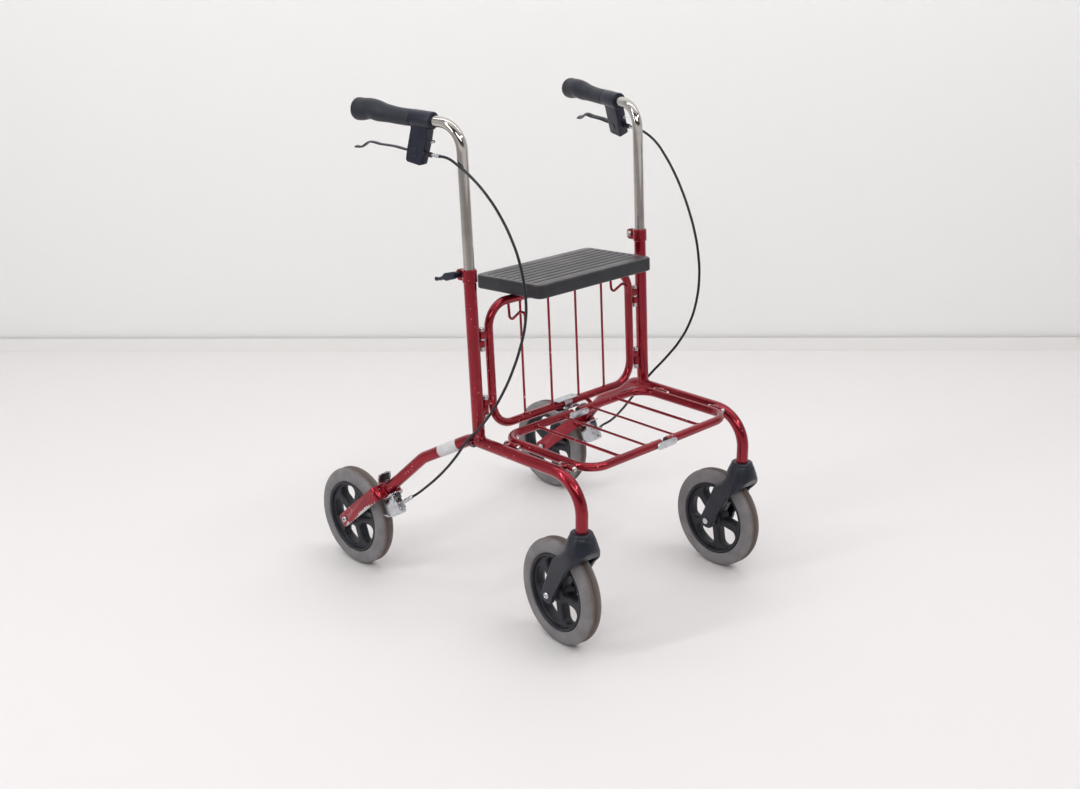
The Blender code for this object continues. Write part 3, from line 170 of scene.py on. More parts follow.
def caster_frame(side):
    """Under the stem at ground level: X along the wheel's axle, Y back along its trail."""
    return Matrix.Translation((side * STEM_X, STEM_Y, 0)) @ Matrix.Rotation(CASTER_TURN[side], 4, "Z")


def front_wheel_frame(side):
    """At the front axle, turned with its caster."""
    return caster_frame(side) @ Matrix.Translation((0, TRAIL, TYRE_R))


def rear_wheel_frame(side):
    """At the rear axle."""
    return Matrix.Translation((side * REAR_WHEEL_X, REAR_AXLE_Y, TYRE_R))


def strap_frame(side):
    """At the rear axle: X along the axle, Z up the strap."""
    return rear_wheel_frame(side) @ Matrix.Rotation(FORK_TILT, 4, "X")


for side, hand in SIDES:
    print(hand, "grip corner at", tuple(round(value, 4) for value in grip_frame(side).translation))

# %% Turning a place
def plane(place, first, second):
    """The same place, with its X and Y laid along two of its axes."""
    turn = Matrix((AXES[first], AXES[second], AXES[first].cross(AXES[second])))
    return place @ turn.transposed().to_4x4()


def along_x(place):
    """The same place, with its Z axis laid along its X."""
    return place @ Matrix.Rotation(math.pi / 2, 4, "Y")


def aimed(start, heading):
    """A place at start, with its Z axis laid along heading."""
    return Matrix.Translation(start) @ heading.to_track_quat("Z", "Y").to_matrix().to_4x4()


print("along X:", [round(value, 3) for value in along_x(Matrix.Identity(4)).col[2]])

# %% [markdown]
# ## Drawing tools
# A bent tube is a circle swept along a path, so the first tool is a path with rounded corners.
# Turned parts are a profile spun round an axis, and flat parts are a filled outline with soft edges.
# Welded and drilled parts join or cut these with Booleans, which are applied at once.

# %% Paths with rounded corners
def corner_arc(before, corner, after, radius, step):
    """Points of the fillet at a corner."""
    inward = (before - corner).normalized()
    ahead = (after - corner).normalized()
    half = inward.angle(ahead) / 2
    sweep = math.pi - 2 * half
    steps = max(2, math.ceil(sweep / step))
    centre = corner + (inward + ahead).normalized() * (radius / math.sin(half))
    first = corner + inward * (radius / math.tan(half)) - centre
    last = corner + ahead * (radius / math.tan(half)) - centre
    points = []
    for index in range(steps + 1):
        angle = sweep * index / steps
        mix = first * math.sin(sweep - angle) + last * math.sin(angle)
        points.append(centre + mix / math.sin(sweep))
    return points


def route(corners, step=math.radians(5)):
    """An open path from (point, bend radius) corners."""
    places, radii = zip(*corners)
    places = [Vector(point) for point in places]
    points = [places[0]]
    for index in range(1, len(corners) - 1):
        points += corner_arc(places[index - 1], places[index], places[index + 1], radii[index], step)
    return points + [places[-1]]


print("a quarter bend has", len(route([((0, 0, 0), 0), ((1, 0, 0), 0.1), ((1, 1, 0), 0)])), "points")

# %% Outlines and curves
def outline(corners, step=math.radians(12)):
    """A closed outline from (x, y, fillet radius) corners."""
    points = []
    for index, (x, y, radius) in enumerate(corners):
        corner = Vector((x, y))
        if radius == 0:
            points.append(corner)
            continue
        points += corner_arc(Vector(corners[index - 1][:2]), corner,
                             Vector(corners[(index + 1) % len(corners)][:2]), radius, step)
    return points


def box_outline(left, low, right, high, radius, step=math.radians(12)):
    """An oblong with four round corners."""
    return outline([(left, low, radius), (right, low, radius), (right, high, radius), (left, high, radius)],
                   step)


def smooth_line(knots, per_span):
    """A curve through the knots, by cubic blending of their neighbours."""
    knots = [Vector(knot) for knot in knots]
    points = []
    for index in range(len(knots) - 1):
        before = knots[max(index - 1, 0)]
        first, last = knots[index], knots[index + 1]
        after = knots[min(index + 2, len(knots) - 1)]
        for step in range(per_span):
            t = step / per_span
            points.append(0.5 * ((2 * first) + (last - before) * t
                                 + (2 * before - 5 * first + 4 * last - after) * t * t
                                 + (3 * first - before - 3 * last + after) * t ** 3))
    return points + [knots[-1]]


print("a curve through 3 knots has", len(smooth_line([(0, 0), (1, 1), (2, 0)], 8)), "points")

# %% Pieces from meshes and curves
def linked(name, data):
    """Put new data in the scene as an object."""
    piece = bpy.data.objects.new(name, data)
    bpy.context.scene.collection.objects.link(piece)
    return piece


def worked_out(source):
    """The mesh of an object once its modifiers, or its curve, are worked out."""
    return bpy.data.meshes.new_from_object(source.evaluated_get(bpy.context.evaluated_depsgraph_get()))


def curve_mesh(name, curve):
    """The mesh that a curve makes. The curve's own object is only a helper."""
    source = linked(name, curve)
    mesh = worked_out(source)
    bpy.data.objects.remove(source, do_unlink=True)
    return mesh


def form_piece(name, form):
    """A piece from a bmesh, with its faces turned outward."""
    bmesh.ops.recalc_face_normals(form, faces=form.faces)
    mesh = bpy.data.meshes.new(name)
    form.to_mesh(mesh)
    form.free()
    return linked(name, mesh)


print("pieces can be linked")

# %% Swept bars
def swept(name, points, radius, sides=32, swell=None, flat=1.0, across=None):
    """A bar along a path. Swell scales its radius, and flat squeezes it square to across."""
    line = [Vector(point) for point in points]
    last = len(line) - 1
    headings = [(line[min(i + 1, last)] - line[max(i - 1, 0)]).normalized() for i in range(last + 1)]
    normal = (across or headings[0].orthogonal()).normalized()
    form = bmesh.new()
    rings = []
    for index, (place, heading) in enumerate(zip(line, headings)):
        normal = (normal - heading * normal.dot(heading)).normalized()
        other = heading.cross(normal) * flat
        size = radius * (swell[index] if swell else 1.0)
        rings.append([form.verts.new(place + (normal * math.cos(angle) + other * math.sin(angle)) * size)
                      for angle in (math.tau * step / sides for step in range(sides))])
    for ring, following in zip(rings, rings[1:]):
        for step in range(sides):
            after = (step + 1) % sides
            form.faces.new((ring[step], ring[after], following[after], following[step]))
    form.faces.new(rings[0][::-1])
    form.faces.new(rings[-1])
    return form_piece(name, form)


print("bars can be swept")

# %% Turned forms
def ring_points(radius, steps):
    """Evenly spaced points of a circle."""
    angles = [math.tau * step / steps for step in range(steps)]
    return [(radius * math.cos(angle), radius * math.sin(angle)) for angle in angles]


def turned(name, profile, place, steps=64):
    """Spin a (radius, height) profile about the place's Z axis."""
    form = bmesh.new()
    rings = []
    for radius, height in profile:
        if radius < 1e-7:
            rings.append([form.verts.new((0, 0, height))])
        else:
            rings.append([form.verts.new((x, y, height)) for x, y in ring_points(radius, steps)])
    pairs = list(zip(rings, rings[1:]))
    if profile[0][0] > 1e-7:
        pairs.append((rings[-1], rings[0]))
    for ring, following in pairs:
        for step in range(steps):
            after = (step + 1) % steps
            corners = [ring[step % len(ring)], ring[after % len(ring)],
                       following[after % len(following)], following[step % len(following)]]
            face = list(dict.fromkeys(corners))
            if len(face) > 2:
                form.faces.new(face)
    bmesh.ops.transform(form, matrix=place, verts=form.verts)
    return form_piece(name, form)


print("a square ring", [(round(x, 2), round(y, 2)) for x, y in ring_points(1, 4)])

# %% Flat forms, rods and blocks
def flat_form(name, outlines, thickness, place, soft=0.0, soft_steps=2):
    """A filled outline in the place's XY plane, centred on it, with rounded edges."""
    curve = bpy.data.curves.new(name, "CURVE")
    curve.dimensions = "2D"
    curve.fill_mode = "BOTH"
    curve.extrude = thickness / 2 - soft
    curve.bevel_depth = soft
    curve.bevel_resolution = soft_steps
    curve.offset = -soft
    for points in outlines:
        spline = curve.splines.new("POLY")
        spline.points.add(len(points) - 1)
        for knot, point in zip(spline.points, points):
            knot.co = (point[0], point[1], 0, 1)
        spline.use_cyclic_u = True
    form = bmesh.new()
    form.from_mesh(curve_mesh(name, curve))
    bmesh.ops.remove_doubles(form, verts=form.verts, dist=0.000002)
    bmesh.ops.transform(form, matrix=place, verts=form.verts)
    return form_piece(name, form)


def rod(name, start, end, radius, sides=32):
    """A straight round bar."""
    start, end = Vector(start), Vector(end)
    form = bmesh.new()
    bmesh.ops.create_cone(form, cap_ends=True, segments=sides, radius1=radius, radius2=radius,
                          depth=(end - start).length)
    bmesh.ops.transform(form, matrix=aimed((start + end) / 2, end - start), verts=form.verts)
    return form_piece(name, form)


def block(name, one_corner, other_corner, place=Matrix.Identity(4)):
    """A box between two corners of the place."""
    low = Vector(map(min, one_corner, other_corner))
    high = Vector(map(max, one_corner, other_corner))
    form = bmesh.new()
    bmesh.ops.create_cube(form, size=1.0)
    size = Matrix.Diagonal((*(high - low), 1.0))
    bmesh.ops.transform(form, matrix=place @ Matrix.Translation((low + high) / 2) @ size, verts=form.verts)
    return form_piece(name, form)


print("forms ready")

# %% Joining and cutting
def apply_modifiers(piece):
    """Keep the shape that the modifiers make, and drop them."""
    mesh = worked_out(piece)
    piece.modifiers.clear()
    piece.data = mesh
    return piece


def boolean(piece, operation, others):
    """Apply one Boolean with each of the other pieces, which are then gone."""
    for other in others:
        step = piece.modifiers.new(operation, "BOOLEAN")
        step.operation = operation
        step.solver = "EXACT"
        step.object = other
    bpy.context.view_layer.update()
    apply_modifiers(piece)
    for other in others:
        bpy.data.objects.remove(other, do_unlink=True)
    return piece


def welded(piece, *others):
    return boolean(piece, "UNION", others)


def cut(piece, *others):
    return boolean(piece, "DIFFERENCE", others)


def common(piece, *others):
    return boolean(piece, "INTERSECT", others)


def gathered(piece, *others):
    """Put other meshes into one piece, without cutting them."""
    form = bmesh.new()
    for source in (piece, *others):
        form.from_mesh(source.data)
    mesh = bpy.data.meshes.new(piece.name)
    form.to_mesh(mesh)
    form.free()
    piece.data = mesh
    for other in others:
        bpy.data.objects.remove(other, do_unlink=True)
    return piece


print("pieces can be joined")

# %% Softening and finishing
def softened(piece, width, steps=2, angle=35):
    """Round every edge sharper than the angle."""
    bevel = piece.modifiers.new("soft_edges", "BEVEL")
    bevel.width = width
    bevel.segments = steps
    bevel.limit_method = "ANGLE"
    bevel.angle_limit = math.radians(angle)
    bevel.miter_outer = "MITER_ARC"
    return apply_modifiers(piece)


def moulded(piece, voxel, rounds):
    """Melt a rough form into one smooth skin, as a casting has."""
    remesh = piece.modifiers.new("skin", "REMESH")
    remesh.mode = "VOXEL"
    remesh.voxel_size = voxel
    smooth = piece.modifiers.new("melt", "SMOOTH")
    smooth.factor = 0.5
    smooth.iterations = rounds
    return apply_modifiers(piece)


def finished(piece, look, body, slot, *nodes, sharp=32):
    """Shade a piece, give it its finish and fix it to its body, if it has one."""
    piece.data.shade_smooth()
    piece.data.set_sharp_from_angle(angle=math.radians(sharp))
    piece.data.materials.clear()
    piece.data.materials.append(look)
    if body:
        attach(piece, body)
    if nodes:
        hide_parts(*nodes)
    return piece


print("tools ready")

# %% [markdown]
# ## Node tools
# A finish is a small tree of nodes: noise, sums and colour mixes. It can be wired by hand in the shader
# editor, but a script has to name every socket. Each tool below takes a number, a colour or another
# node's output and puts it where it belongs, so a recipe stays one line long.

# %% Node tools
def feed(tree, value, socket):
    """Type a number or a colour on a socket, or link another node's output to it."""
    if isinstance(value, (int, float)):
        socket.default_value = value
    elif isinstance(value, tuple):
        socket.default_value = (*value, 1.0)
    else:
        tree.links.new(value, socket)


def maths(tree, operation, *values, clamp=False):
    """One sum, of numbers or of other nodes' outputs."""
    node = tree.nodes.new("ShaderNodeMath")
    node.operation = operation
    node.use_clamp = clamp
    for value, socket in zip(values, node.inputs):
        feed(tree, value, socket)
    return node.outputs[0]


def smooth_step(tree, value, low, high, kind="SMOOTHSTEP"):
    """0 at low and 1 at high, eased at both ends unless the kind says otherwise."""
    node = tree.nodes.new("ShaderNodeMapRange")
    node.interpolation_type = kind
    for label, given in (("Value", value), ("From Min", low), ("From Max", high)):
        feed(tree, given, node.inputs[label])
    return node.outputs["Result"]


print("sums ready")

# %% Noise and colour
def own_noise(tree, scale, detail=3.0, roughness=0.55):
    """Noise in the piece's own coordinates."""
    place = tree.nodes.new("ShaderNodeTexCoord")
    node = tree.nodes.new("ShaderNodeTexNoise")
    for value, label in ((place.outputs["Object"], "Vector"), (detail, "Detail"),
                         (roughness, "Roughness"), (scale, "Scale")):
        feed(tree, value, node.inputs[label])
    return node.outputs["Fac"]


def colour_mix(tree, amount, first, second):
    """Blend two colours, each a value or another node's output."""
    node = tree.nodes.new("ShaderNodeMix")
    node.data_type = "RGBA"
    for value, socket in ((amount, node.inputs[0]), (first, node.inputs[6]), (second, node.inputs[7])):
        feed(tree, value, socket)
    return node.outputs[2]


def principled(name):
    """A new material, its node tree and its shader."""
    made = bpy.data.materials.new(name)
    made.use_nodes = True
    return made, made.node_tree, made.node_tree.nodes["Principled BSDF"]


print("node tools ready")

# %% [markdown]
# ## The room
# The real piece stood on a pale studio floor in front of a pale wall with a low skirting board. One
# curved sheet is the usual backdrop, but here the corner and its skirting show, so floor and wall are
# flat sheets. The wall is seen through from behind, so that a picture from the back isn't blocked.

# %% Room finishes
def room_paint(name, colour, roughness, specular=0.5):
    """One plain colour all over."""
    made, tree, shader = principled(name)
    feed(tree, colour, shader.inputs["Base Color"])
    shader.inputs["Roughness"].default_value = roughness
    shader.inputs["Specular IOR Level"].default_value = specular
    return made


floor_paint = room_paint("floor_paint", (0.83, 0.805, 0.81), 0.55, 0.25)
wall_paint = room_paint("wall_paint", (0.90, 0.90, 0.895), 0.8)
skirting_paint = room_paint("skirting_paint", (0.88, 0.875, 0.865), 0.5)
wall_tree = wall_paint.node_tree
see_through = wall_tree.nodes.new("ShaderNodeBsdfTransparent")
wall_mix = wall_tree.nodes.new("ShaderNodeMixShader")
wall_side = wall_tree.nodes.new("ShaderNodeNewGeometry")
for output, socket in (
        (wall_side.outputs["Backfacing"], wall_mix.inputs["Fac"]),
        (wall_tree.nodes["Principled BSDF"].outputs["BSDF"], wall_mix.inputs[1]),
        (see_through.outputs["BSDF"], wall_mix.inputs[2]),
        (wall_mix.outputs["Shader"], wall_tree.nodes["Material Output"].inputs["Surface"])):
    feed(wall_tree, output, socket)
print("room finishes ready")

# %% Floor, wall and skirting
ROOM_HALF = 9
WALL_AWAY = 3.933
WALL_HIGH = 5
SKIRTING_HIGH = 0.041
SKIRTING_THICK = 0.012
LOOK = Vector((-math.sin(AZIMUTH), math.cos(AZIMUTH), 0.0))
wall_foot = Vector((CAMERA_PLACE.x, CAMERA_PLACE.y, 0)) + LOOK * WALL_AWAY


def stage_sheet(name, corners, paint):
    """One flat face of the room. It isn't part of the model."""
    mesh = bpy.data.meshes.new(name)
    mesh.from_pydata([tuple(corner) for corner in corners], [], [tuple(range(len(corners)))])
    mesh.materials.append(paint)
    linked(name, mesh)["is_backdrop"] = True


def stage_wall(name, foot, high, paint):
    """An upright sheet whose front side looks back at the camera."""
    aside = AXES["Z"].cross(-LOOK) * ROOM_HALF
    rise = AXES["Z"] * high
    stage_sheet(name, [foot - aside, foot + aside, foot + aside + rise, foot - aside + rise], paint)


stage_sheet("floor", [(x * ROOM_HALF, y * ROOM_HALF, 0) for x, y in ((-1, -1), (1, -1), (1, 1), (-1, 1))],
            floor_paint)
stage_wall("wall", wall_foot, WALL_HIGH, wall_paint)
stage_wall("skirting", wall_foot - LOOK * SKIRTING_THICK, SKIRTING_HIGH, skirting_paint)
print("wall foot at", tuple(round(value, 3) for value in wall_foot))

# %% [markdown]
# ## The light
# Studio light is soft and comes mostly from above. The world is a pale room that is dim and brown on
# the camera's side: polished metal needs something dark to reflect, or it looks like paint. A single
# sun would be simpler, but its shadows are hard. So one large lamp hangs above, two long strips draw
# the thin highlights on the tubes, the wall has its own, and a wide one over the camera fills the front.

# %% World and lamps
world = bpy.data.worlds.new("studio")
bpy.context.scene.world = world
world.use_nodes = True
sky_tree = world.node_tree
sky = sky_tree.nodes["Background"]
direction = sky_tree.nodes.new("ShaderNodeTexCoord").outputs["Generated"]
split = sky_tree.nodes.new("ShaderNodeSeparateXYZ")
feed(sky_tree, direction, split.inputs[0])
height = sky_tree.nodes.new("ShaderNodeMapRange")
for label, value in (("Value", split.outputs["Z"]), ("From Max", 0.6), ("To Min", 0.76), ("To Max", 0.45)):
    feed(sky_tree, value, height.inputs[label])
feed(sky_tree, height.outputs["Result"], sky.inputs["Strength"])
toward_camera = sky_tree.nodes.new("ShaderNodeVectorMath")
toward_camera.operation = "DOT_PRODUCT"
toward_camera.inputs[1].default_value = -LOOK
feed(sky_tree, direction, toward_camera.inputs[0])
dim_side = smooth_step(sky_tree, toward_camera.outputs["Value"], 0.30, 0.75)
raised = smooth_step(sky_tree, split.outputs["Z"], 0.10, 0.22, "LINEAR")
room_tone = colour_mix(sky_tree, maths(sky_tree, "MULTIPLY", dim_side, raised),
                       (1.0, 0.985, 0.97), (0.11, 0.09, 0.08))
feed(sky_tree, room_tone, sky.inputs["Color"])


def soft_lamp(name, place, target, size, power):
    """A rectangular lamp that looks at its target."""
    data = bpy.data.lights.new(name, "AREA")
    data.shape = "RECTANGLE"
    data.size, data.size_y = size
    data.energy = power
    lamp = linked(name, data)
    lamp.location = place
    lamp.rotation_mode = "QUATERNION"
    lamp.rotation_quaternion = (Vector(target) - Vector(place)).to_track_quat("-Z", "Y")


soft_lamp("overhead", (-0.3, -0.3, 5.0), (0, 0, 0), (5.5, 5.5), 44)
soft_lamp("left_strip", (-2.6, 0.6, 2.2), (0, 0, 0.4), (0.12, 2.4), 23)
soft_lamp("front_strip", (0.4, -2.4, 2.9), (0, 0, 0.4), (2.6, 0.10), 22)
soft_lamp("wall_wash", wall_foot - LOOK * 1.2 + Vector((0, 0, 3.2)), wall_foot + Vector((0, 0, 1.3)),
          (5.0, 0.3), 24)
soft_lamp("over_camera", -LOOK * 3.4 + Vector((0, 0, 2.9)), wall_foot + Vector((0, 0, 1.0)), (3.2, 0.8), 36)

# %% [markdown]
# ## Shared surface effects
# Grain, wear and dust show on several finishes. They could be wired into each material again, but then
# a correction would have to be made many times. Each is a node group that gives one number for a point
# of the surface, and each finish sets its own scale and strength. They read the object's own
# coordinates, so the pattern stays on the piece when it moves.

# %% Fine grain
def effect_group(name, output, **inputs):
    """A group with named inputs and one output, and the sockets inside it."""
    group = bpy.data.node_groups.new(name, "ShaderNodeTree")
    for label, value in inputs.items():
        socket = group.interface.new_socket(label, in_out="INPUT", socket_type="NodeSocketFloat")
        socket.default_value = value
    group.interface.new_socket(output, in_out="OUTPUT", socket_type="NodeSocketFloat")
    given = group.nodes.new("NodeGroupInput").outputs
    result = group.nodes.new("NodeGroupOutput").inputs[output]
    return group, given, result


GRAIN, given, result = effect_group("fine_grain", "Height", Scale=900.0, Waves=40.0)
fine = own_noise(GRAIN, given["Scale"], 2.0)
broad = own_noise(GRAIN, given["Waves"], 2.0)
feed(GRAIN, maths(GRAIN, "MULTIPLY_ADD", broad, 0.35, fine), result)
print(GRAIN.name, "gives", result.name)

# %% Paint chips
CHIPS, given, result = effect_group("paint_chips", "Mask", Scale=110.0, Clusters=9.0, Edge=0.5, Amount=0.5)
spot = own_noise(CHIPS, given["Scale"], 2.0, 0.5)
cluster = own_noise(CHIPS, given["Clusters"], 1.0, 0.5)
geometry = CHIPS.nodes.new("ShaderNodeNewGeometry")
ridge = smooth_step(CHIPS, geometry.outputs["Pointiness"], 0.515, 0.60)
edge_bonus = maths(CHIPS, "MULTIPLY", ridge, given["Edge"])
level = maths(CHIPS, "MULTIPLY_ADD", cluster, 0.42, spot)
level = maths(CHIPS, "MULTIPLY_ADD", edge_bonus, 0.12, level)
limit = maths(CHIPS, "SUBTRACT", 1.02, maths(CHIPS, "MULTIPLY", given["Amount"], 0.12))
feed(CHIPS, smooth_step(CHIPS, level, limit, maths(CHIPS, "ADD", limit, 0.012)), result)
print(CHIPS.name, "gives", result.name)

# %% Settled dust
DUST, given, result = effect_group("settled_dust", "Mask", Scale=18.0, Up=0.5, Amount=0.3)
cloud = smooth_step(DUST, own_noise(DUST, given["Scale"], 5.0, 0.65), 0.35, 0.75)
facing = DUST.nodes.new("ShaderNodeNewGeometry")
split = DUST.nodes.new("ShaderNodeSeparateXYZ")
feed(DUST, facing.outputs["Normal"], split.inputs["Vector"])
upward = maths(DUST, "MAXIMUM", split.outputs["Z"], 0.0)
lean = maths(DUST, "MULTIPLY_ADD", upward, given["Up"], maths(DUST, "SUBTRACT", 1.0, given["Up"]))
feed(DUST, maths(DUST, "MULTIPLY", maths(DUST, "MULTIPLY", cloud, lean), given["Amount"]), result)
print([group.name for group in bpy.data.node_groups])

# %% [markdown]
# ## Finishes
# Each finish is one Principled shader. A photographed texture would be quicker, but it shows its edges
# and its own light, so every finish is made from noise. Numbers that stay the same all over are typed
# on the shader's sockets, and only colour, roughness, metal and bump follow a pattern.

# %% Finish tools
def put_group(tree, group, **values):
    """Place an effect in a material, with this material's own values."""
    node = tree.nodes.new("ShaderNodeGroup")
    node.node_tree = group
    for label, value in values.items():
        node.inputs[label].default_value = value
    return node.outputs[0]


def bump(tree, shader, height, strength, distance=0.0004):
    """Let a height pattern tilt the surface, without moving it."""
    node = tree.nodes.new("ShaderNodeBump")
    node.inputs["Strength"].default_value = strength
    node.inputs["Distance"].default_value = distance
    tree.links.new(height, node.inputs["Height"])
    tree.links.new(node.outputs["Normal"], shader.inputs["Normal"])


PLAIN_SPECULAR = 0.4


def plain_finish(name, colour, second_colour, roughness, metallic, patches, grain=None, dust=None,
                 dust_colour=(0.30, 0.29, 0.28)):
    """A finish whose colour wanders between two tones, with grain and settled dust.

    Roughness is a (low, high) pair, and grain a (strength, scale, waves) triple.
    """
    made, tree, shader = principled(name)
    tone = colour_mix(tree, smooth_step(tree, own_noise(tree, patches, 4.0), 0.3, 0.7), colour, second_colour)
    if dust:
        tone = colour_mix(tree, put_group(tree, DUST, **dust), tone, dust_colour)
    feed(tree, tone, shader.inputs["Base Color"])
    low, high = roughness
    rough = maths(tree, "MULTIPLY_ADD", own_noise(tree, patches * 2.3, 4.0), high - low, low)
    feed(tree, rough, shader.inputs["Roughness"])
    shader.inputs["Metallic"].default_value = metallic
    shader.inputs["Specular IOR Level"].default_value = PLAIN_SPECULAR
    if grain:
        strength, scale, waves = grain
        bump(tree, shader, put_group(tree, GRAIN, Scale=scale, Waves=waves), strength)
    return made


print("finish tools ready")

# %% [markdown]
# ### Candy red paint
# The tubes are sprayed in a see-through red over a bright metallic base, then lacquered. Real layers
# of glass-like paint would be slow and noisy. A metallic red shader under a clear coat gives nearly the
# same depth. The chips let the grey steel show, more on the edges.

# %% Candy red paint
RED_DEEP = (0.215, 0.004, 0.013)
RED_BRIGHT = (0.320, 0.007, 0.022)
BARE_STEEL = (0.60, 0.58, 0.57)
WORN_EDGE = 0.0028


def red_paint(name, chips, bare_spots=()):
    """Candy paint. Bare metal shows at chips and round each spot, a (place, radius) pair."""
    made, tree, shader = principled(name)
    flakes = smooth_step(tree, own_noise(tree, 1500.0, 1.0), 0.35, 0.65)
    clouds = smooth_step(tree, own_noise(tree, 16.0, 3.0), 0.3, 0.7)
    sparkle = maths(tree, "MULTIPLY_ADD", flakes, 0.35, maths(tree, "MULTIPLY", clouds, 0.65))
    tone = colour_mix(tree, sparkle, RED_DEEP, RED_BRIGHT)
    mask = put_group(tree, CHIPS, **chips)
    if bare_spots:
        here = tree.nodes.new("ShaderNodeTexCoord")
        nearest = 1.0
        for place, radius in bare_spots:
            away = tree.nodes.new("ShaderNodeVectorMath")
            away.operation = "DISTANCE"
            away.inputs[1].default_value = place
            feed(tree, here.outputs["Object"], away.inputs[0])
            nearest = maths(tree, "MINIMUM", maths(tree, "SUBTRACT", away.outputs["Value"], radius), nearest)
        ragged = maths(tree, "MULTIPLY_ADD", own_noise(tree, 260.0, 4.0, 0.6), 2 * WORN_EDGE, -WORN_EDGE)
        worn = smooth_step(tree, maths(tree, "ADD", nearest, ragged), 0.0002, -0.0002)
        mask = maths(tree, "MAXIMUM", mask, worn)
    feed(tree, colour_mix(tree, mask, tone, BARE_STEEL), shader.inputs["Base Color"])
    for label, painted, change, clamp in (("Roughness", 0.24, 0.22, False), ("Metallic", 0.80, 0.15, False),
                                          ("Coat Weight", 0.45, -0.45, True)):
        feed(tree, maths(tree, "MULTIPLY_ADD", mask, change, painted, clamp=clamp), shader.inputs[label])
    shader.inputs["Coat Roughness"].default_value = 0.04
    shader.inputs["Coat IOR"].default_value = 1.5
    relief = maths(tree, "SUBTRACT", maths(tree, "MULTIPLY", own_noise(tree, 420.0, 2.0), 0.10), mask)
    bump(tree, shader, relief, 0.35, 0.0002)
    return made


frame_red = red_paint("frame_red", dict(Scale=230.0, Clusters=8.0, Edge=0.3, Amount=0.30))
print("red paint ready")

# %% [markdown]
# ### Chrome and zinc
# Chrome is a nearly perfect mirror with a few cloudy smudges. Zinc plating is greyer and rougher, with
# small crystals and a cast that changes from place to place. Both could be one grey metal, but the eye
# knows them apart by how sharp the reflections are, so each has its own range of roughness.

# %% Chrome and zinc
chrome = plain_finish("handle_chrome", (0.58, 0.555, 0.53), (0.48, 0.455, 0.435), (0.05, 0.11), 1.0, 30.0)
zinc = plain_finish("bright_zinc", (0.62, 0.64, 0.68), (0.48, 0.49, 0.52), (0.14, 0.26), 1.0, 60.0,
                    (0.25, 1400.0, 260.0))
steel_pin = plain_finish("pin_steel", (0.66, 0.65, 0.63), (0.50, 0.49, 0.47), (0.18, 0.36), 1.0, 160.0)
print("metals ready")

# %% [markdown]
# ### Plastics and foam
# The black parts aren't one black. The forks and brake housings are a blue-black plastic with a slight
# sheen, the grips are a soft closed foam, and the seat is a grained plastic that dust has greyed. One
# function with different numbers makes them all, so they stay related as the real parts are.

# %% Plastics and foam
fork_black = plain_finish("fork_plastic", (0.007, 0.010, 0.019), (0.012, 0.015, 0.026), (0.28, 0.40),
                          0.0, 30.0, (0.18, 1300.0, 60.0), dict(Scale=26.0, Up=0.7, Amount=0.05))
housing_black = plain_finish("housing_plastic", (0.005, 0.007, 0.020), (0.009, 0.012, 0.029), (0.26, 0.38),
                             0.0, 60.0, (0.22, 1500.0, 80.0))
rim_black = plain_finish("rim_plastic", (0.005, 0.006, 0.013), (0.009, 0.010, 0.019), (0.36, 0.52),
                         0.0, 35.0, (0.15, 1200.0, 60.0), dict(Scale=30.0, Up=0.4, Amount=0.05))
grip_foam = plain_finish("grip_foam", (0.007, 0.010, 0.019), (0.013, 0.017, 0.028), (0.38, 0.52),
                         0.0, 70.0, (0.35, 1700.0, 160.0))
seat_black = plain_finish("seat_plastic", (0.014, 0.014, 0.020), (0.022, 0.022, 0.029), (0.26, 0.38),
                          0.0, 22.0, (0.30, 1500.0, 300.0), dict(Scale=14.0, Up=1.0, Amount=0.32),
                          (0.20, 0.185, 0.18))
sheath_black = plain_finish("cable_sheath", (0.006, 0.006, 0.011), (0.009, 0.009, 0.015), (0.28, 0.40),
                            0.0, 90.0)
cap_black = plain_finish("cap_plastic", (0.008, 0.008, 0.012), (0.013, 0.013, 0.018), (0.40, 0.55),
                         0.0, 90.0)
label_white = plain_finish("blank_label", (0.70, 0.70, 0.72), (0.62, 0.62, 0.64), (0.30, 0.42),
                           0.0, 60.0, None, dict(Scale=60.0, Up=0.0, Amount=0.25), (0.42, 0.40, 0.42))
print(len(bpy.data.materials), "materials so far")

# %% [markdown]
# ### Tyre rubber
# The rubber is a warm grey. Towards the crease it turns browner and darker, which paints the crease's
# shade into the rubber. A painted mask would do it, but each tyre piece can simply carry a number at
# every point, 0 at the crease and 1 at the side, and the finish reads that number with an Attribute node.

# %% Tyre rubber
tyre_grey = plain_finish("tyre_rubber", (0.225, 0.218, 0.228), (0.170, 0.161, 0.166), (0.62, 0.80),
                         0.0, 32.0, (0.25, 1100.0, 90.0), dict(Scale=20.0, Up=0.2, Amount=0.22),
                         (0.28, 0.265, 0.26))
# Browner, darker colour towards the crease: painted shade of the crease.
CREASE_SHADE_BROWN = (0.130, 0.104, 0.094)
tyre_tree = tyre_grey.node_tree
tyre_colour = tyre_tree.nodes["Principled BSDF"].inputs["Base Color"]
across = tyre_tree.nodes.new("ShaderNodeAttribute")
across.attribute_name = "across"
ragged = maths(tyre_tree, "MULTIPLY_ADD", own_noise(tyre_tree, 60.0, 4.0), 0.5, across.outputs["Fac"])
crease_shade = smooth_step(tyre_tree, ragged, 0.95, 0.55)
feed(tyre_tree, colour_mix(tyre_tree, crease_shade, tyre_colour.links[0].from_socket, CREASE_SHADE_BROWN), tyre_colour)
print(len(bpy.data.materials), "materials")

# %% [markdown]
# ## Wheels
# A solid rubber tyre has two round lobes with a crease between them. A torus would give one plain
# ring, so the profile is drawn with that crease and spun round the axle. The rim is moulded plastic: a
# deep band, a hub and a web set back from the band's face, whose five rounded openings leave thick,
# soft spokes.

# %% Tyres
TYRE_INNER_R = 0.0738
TYRE_HALF_WIDTH = 0.0178


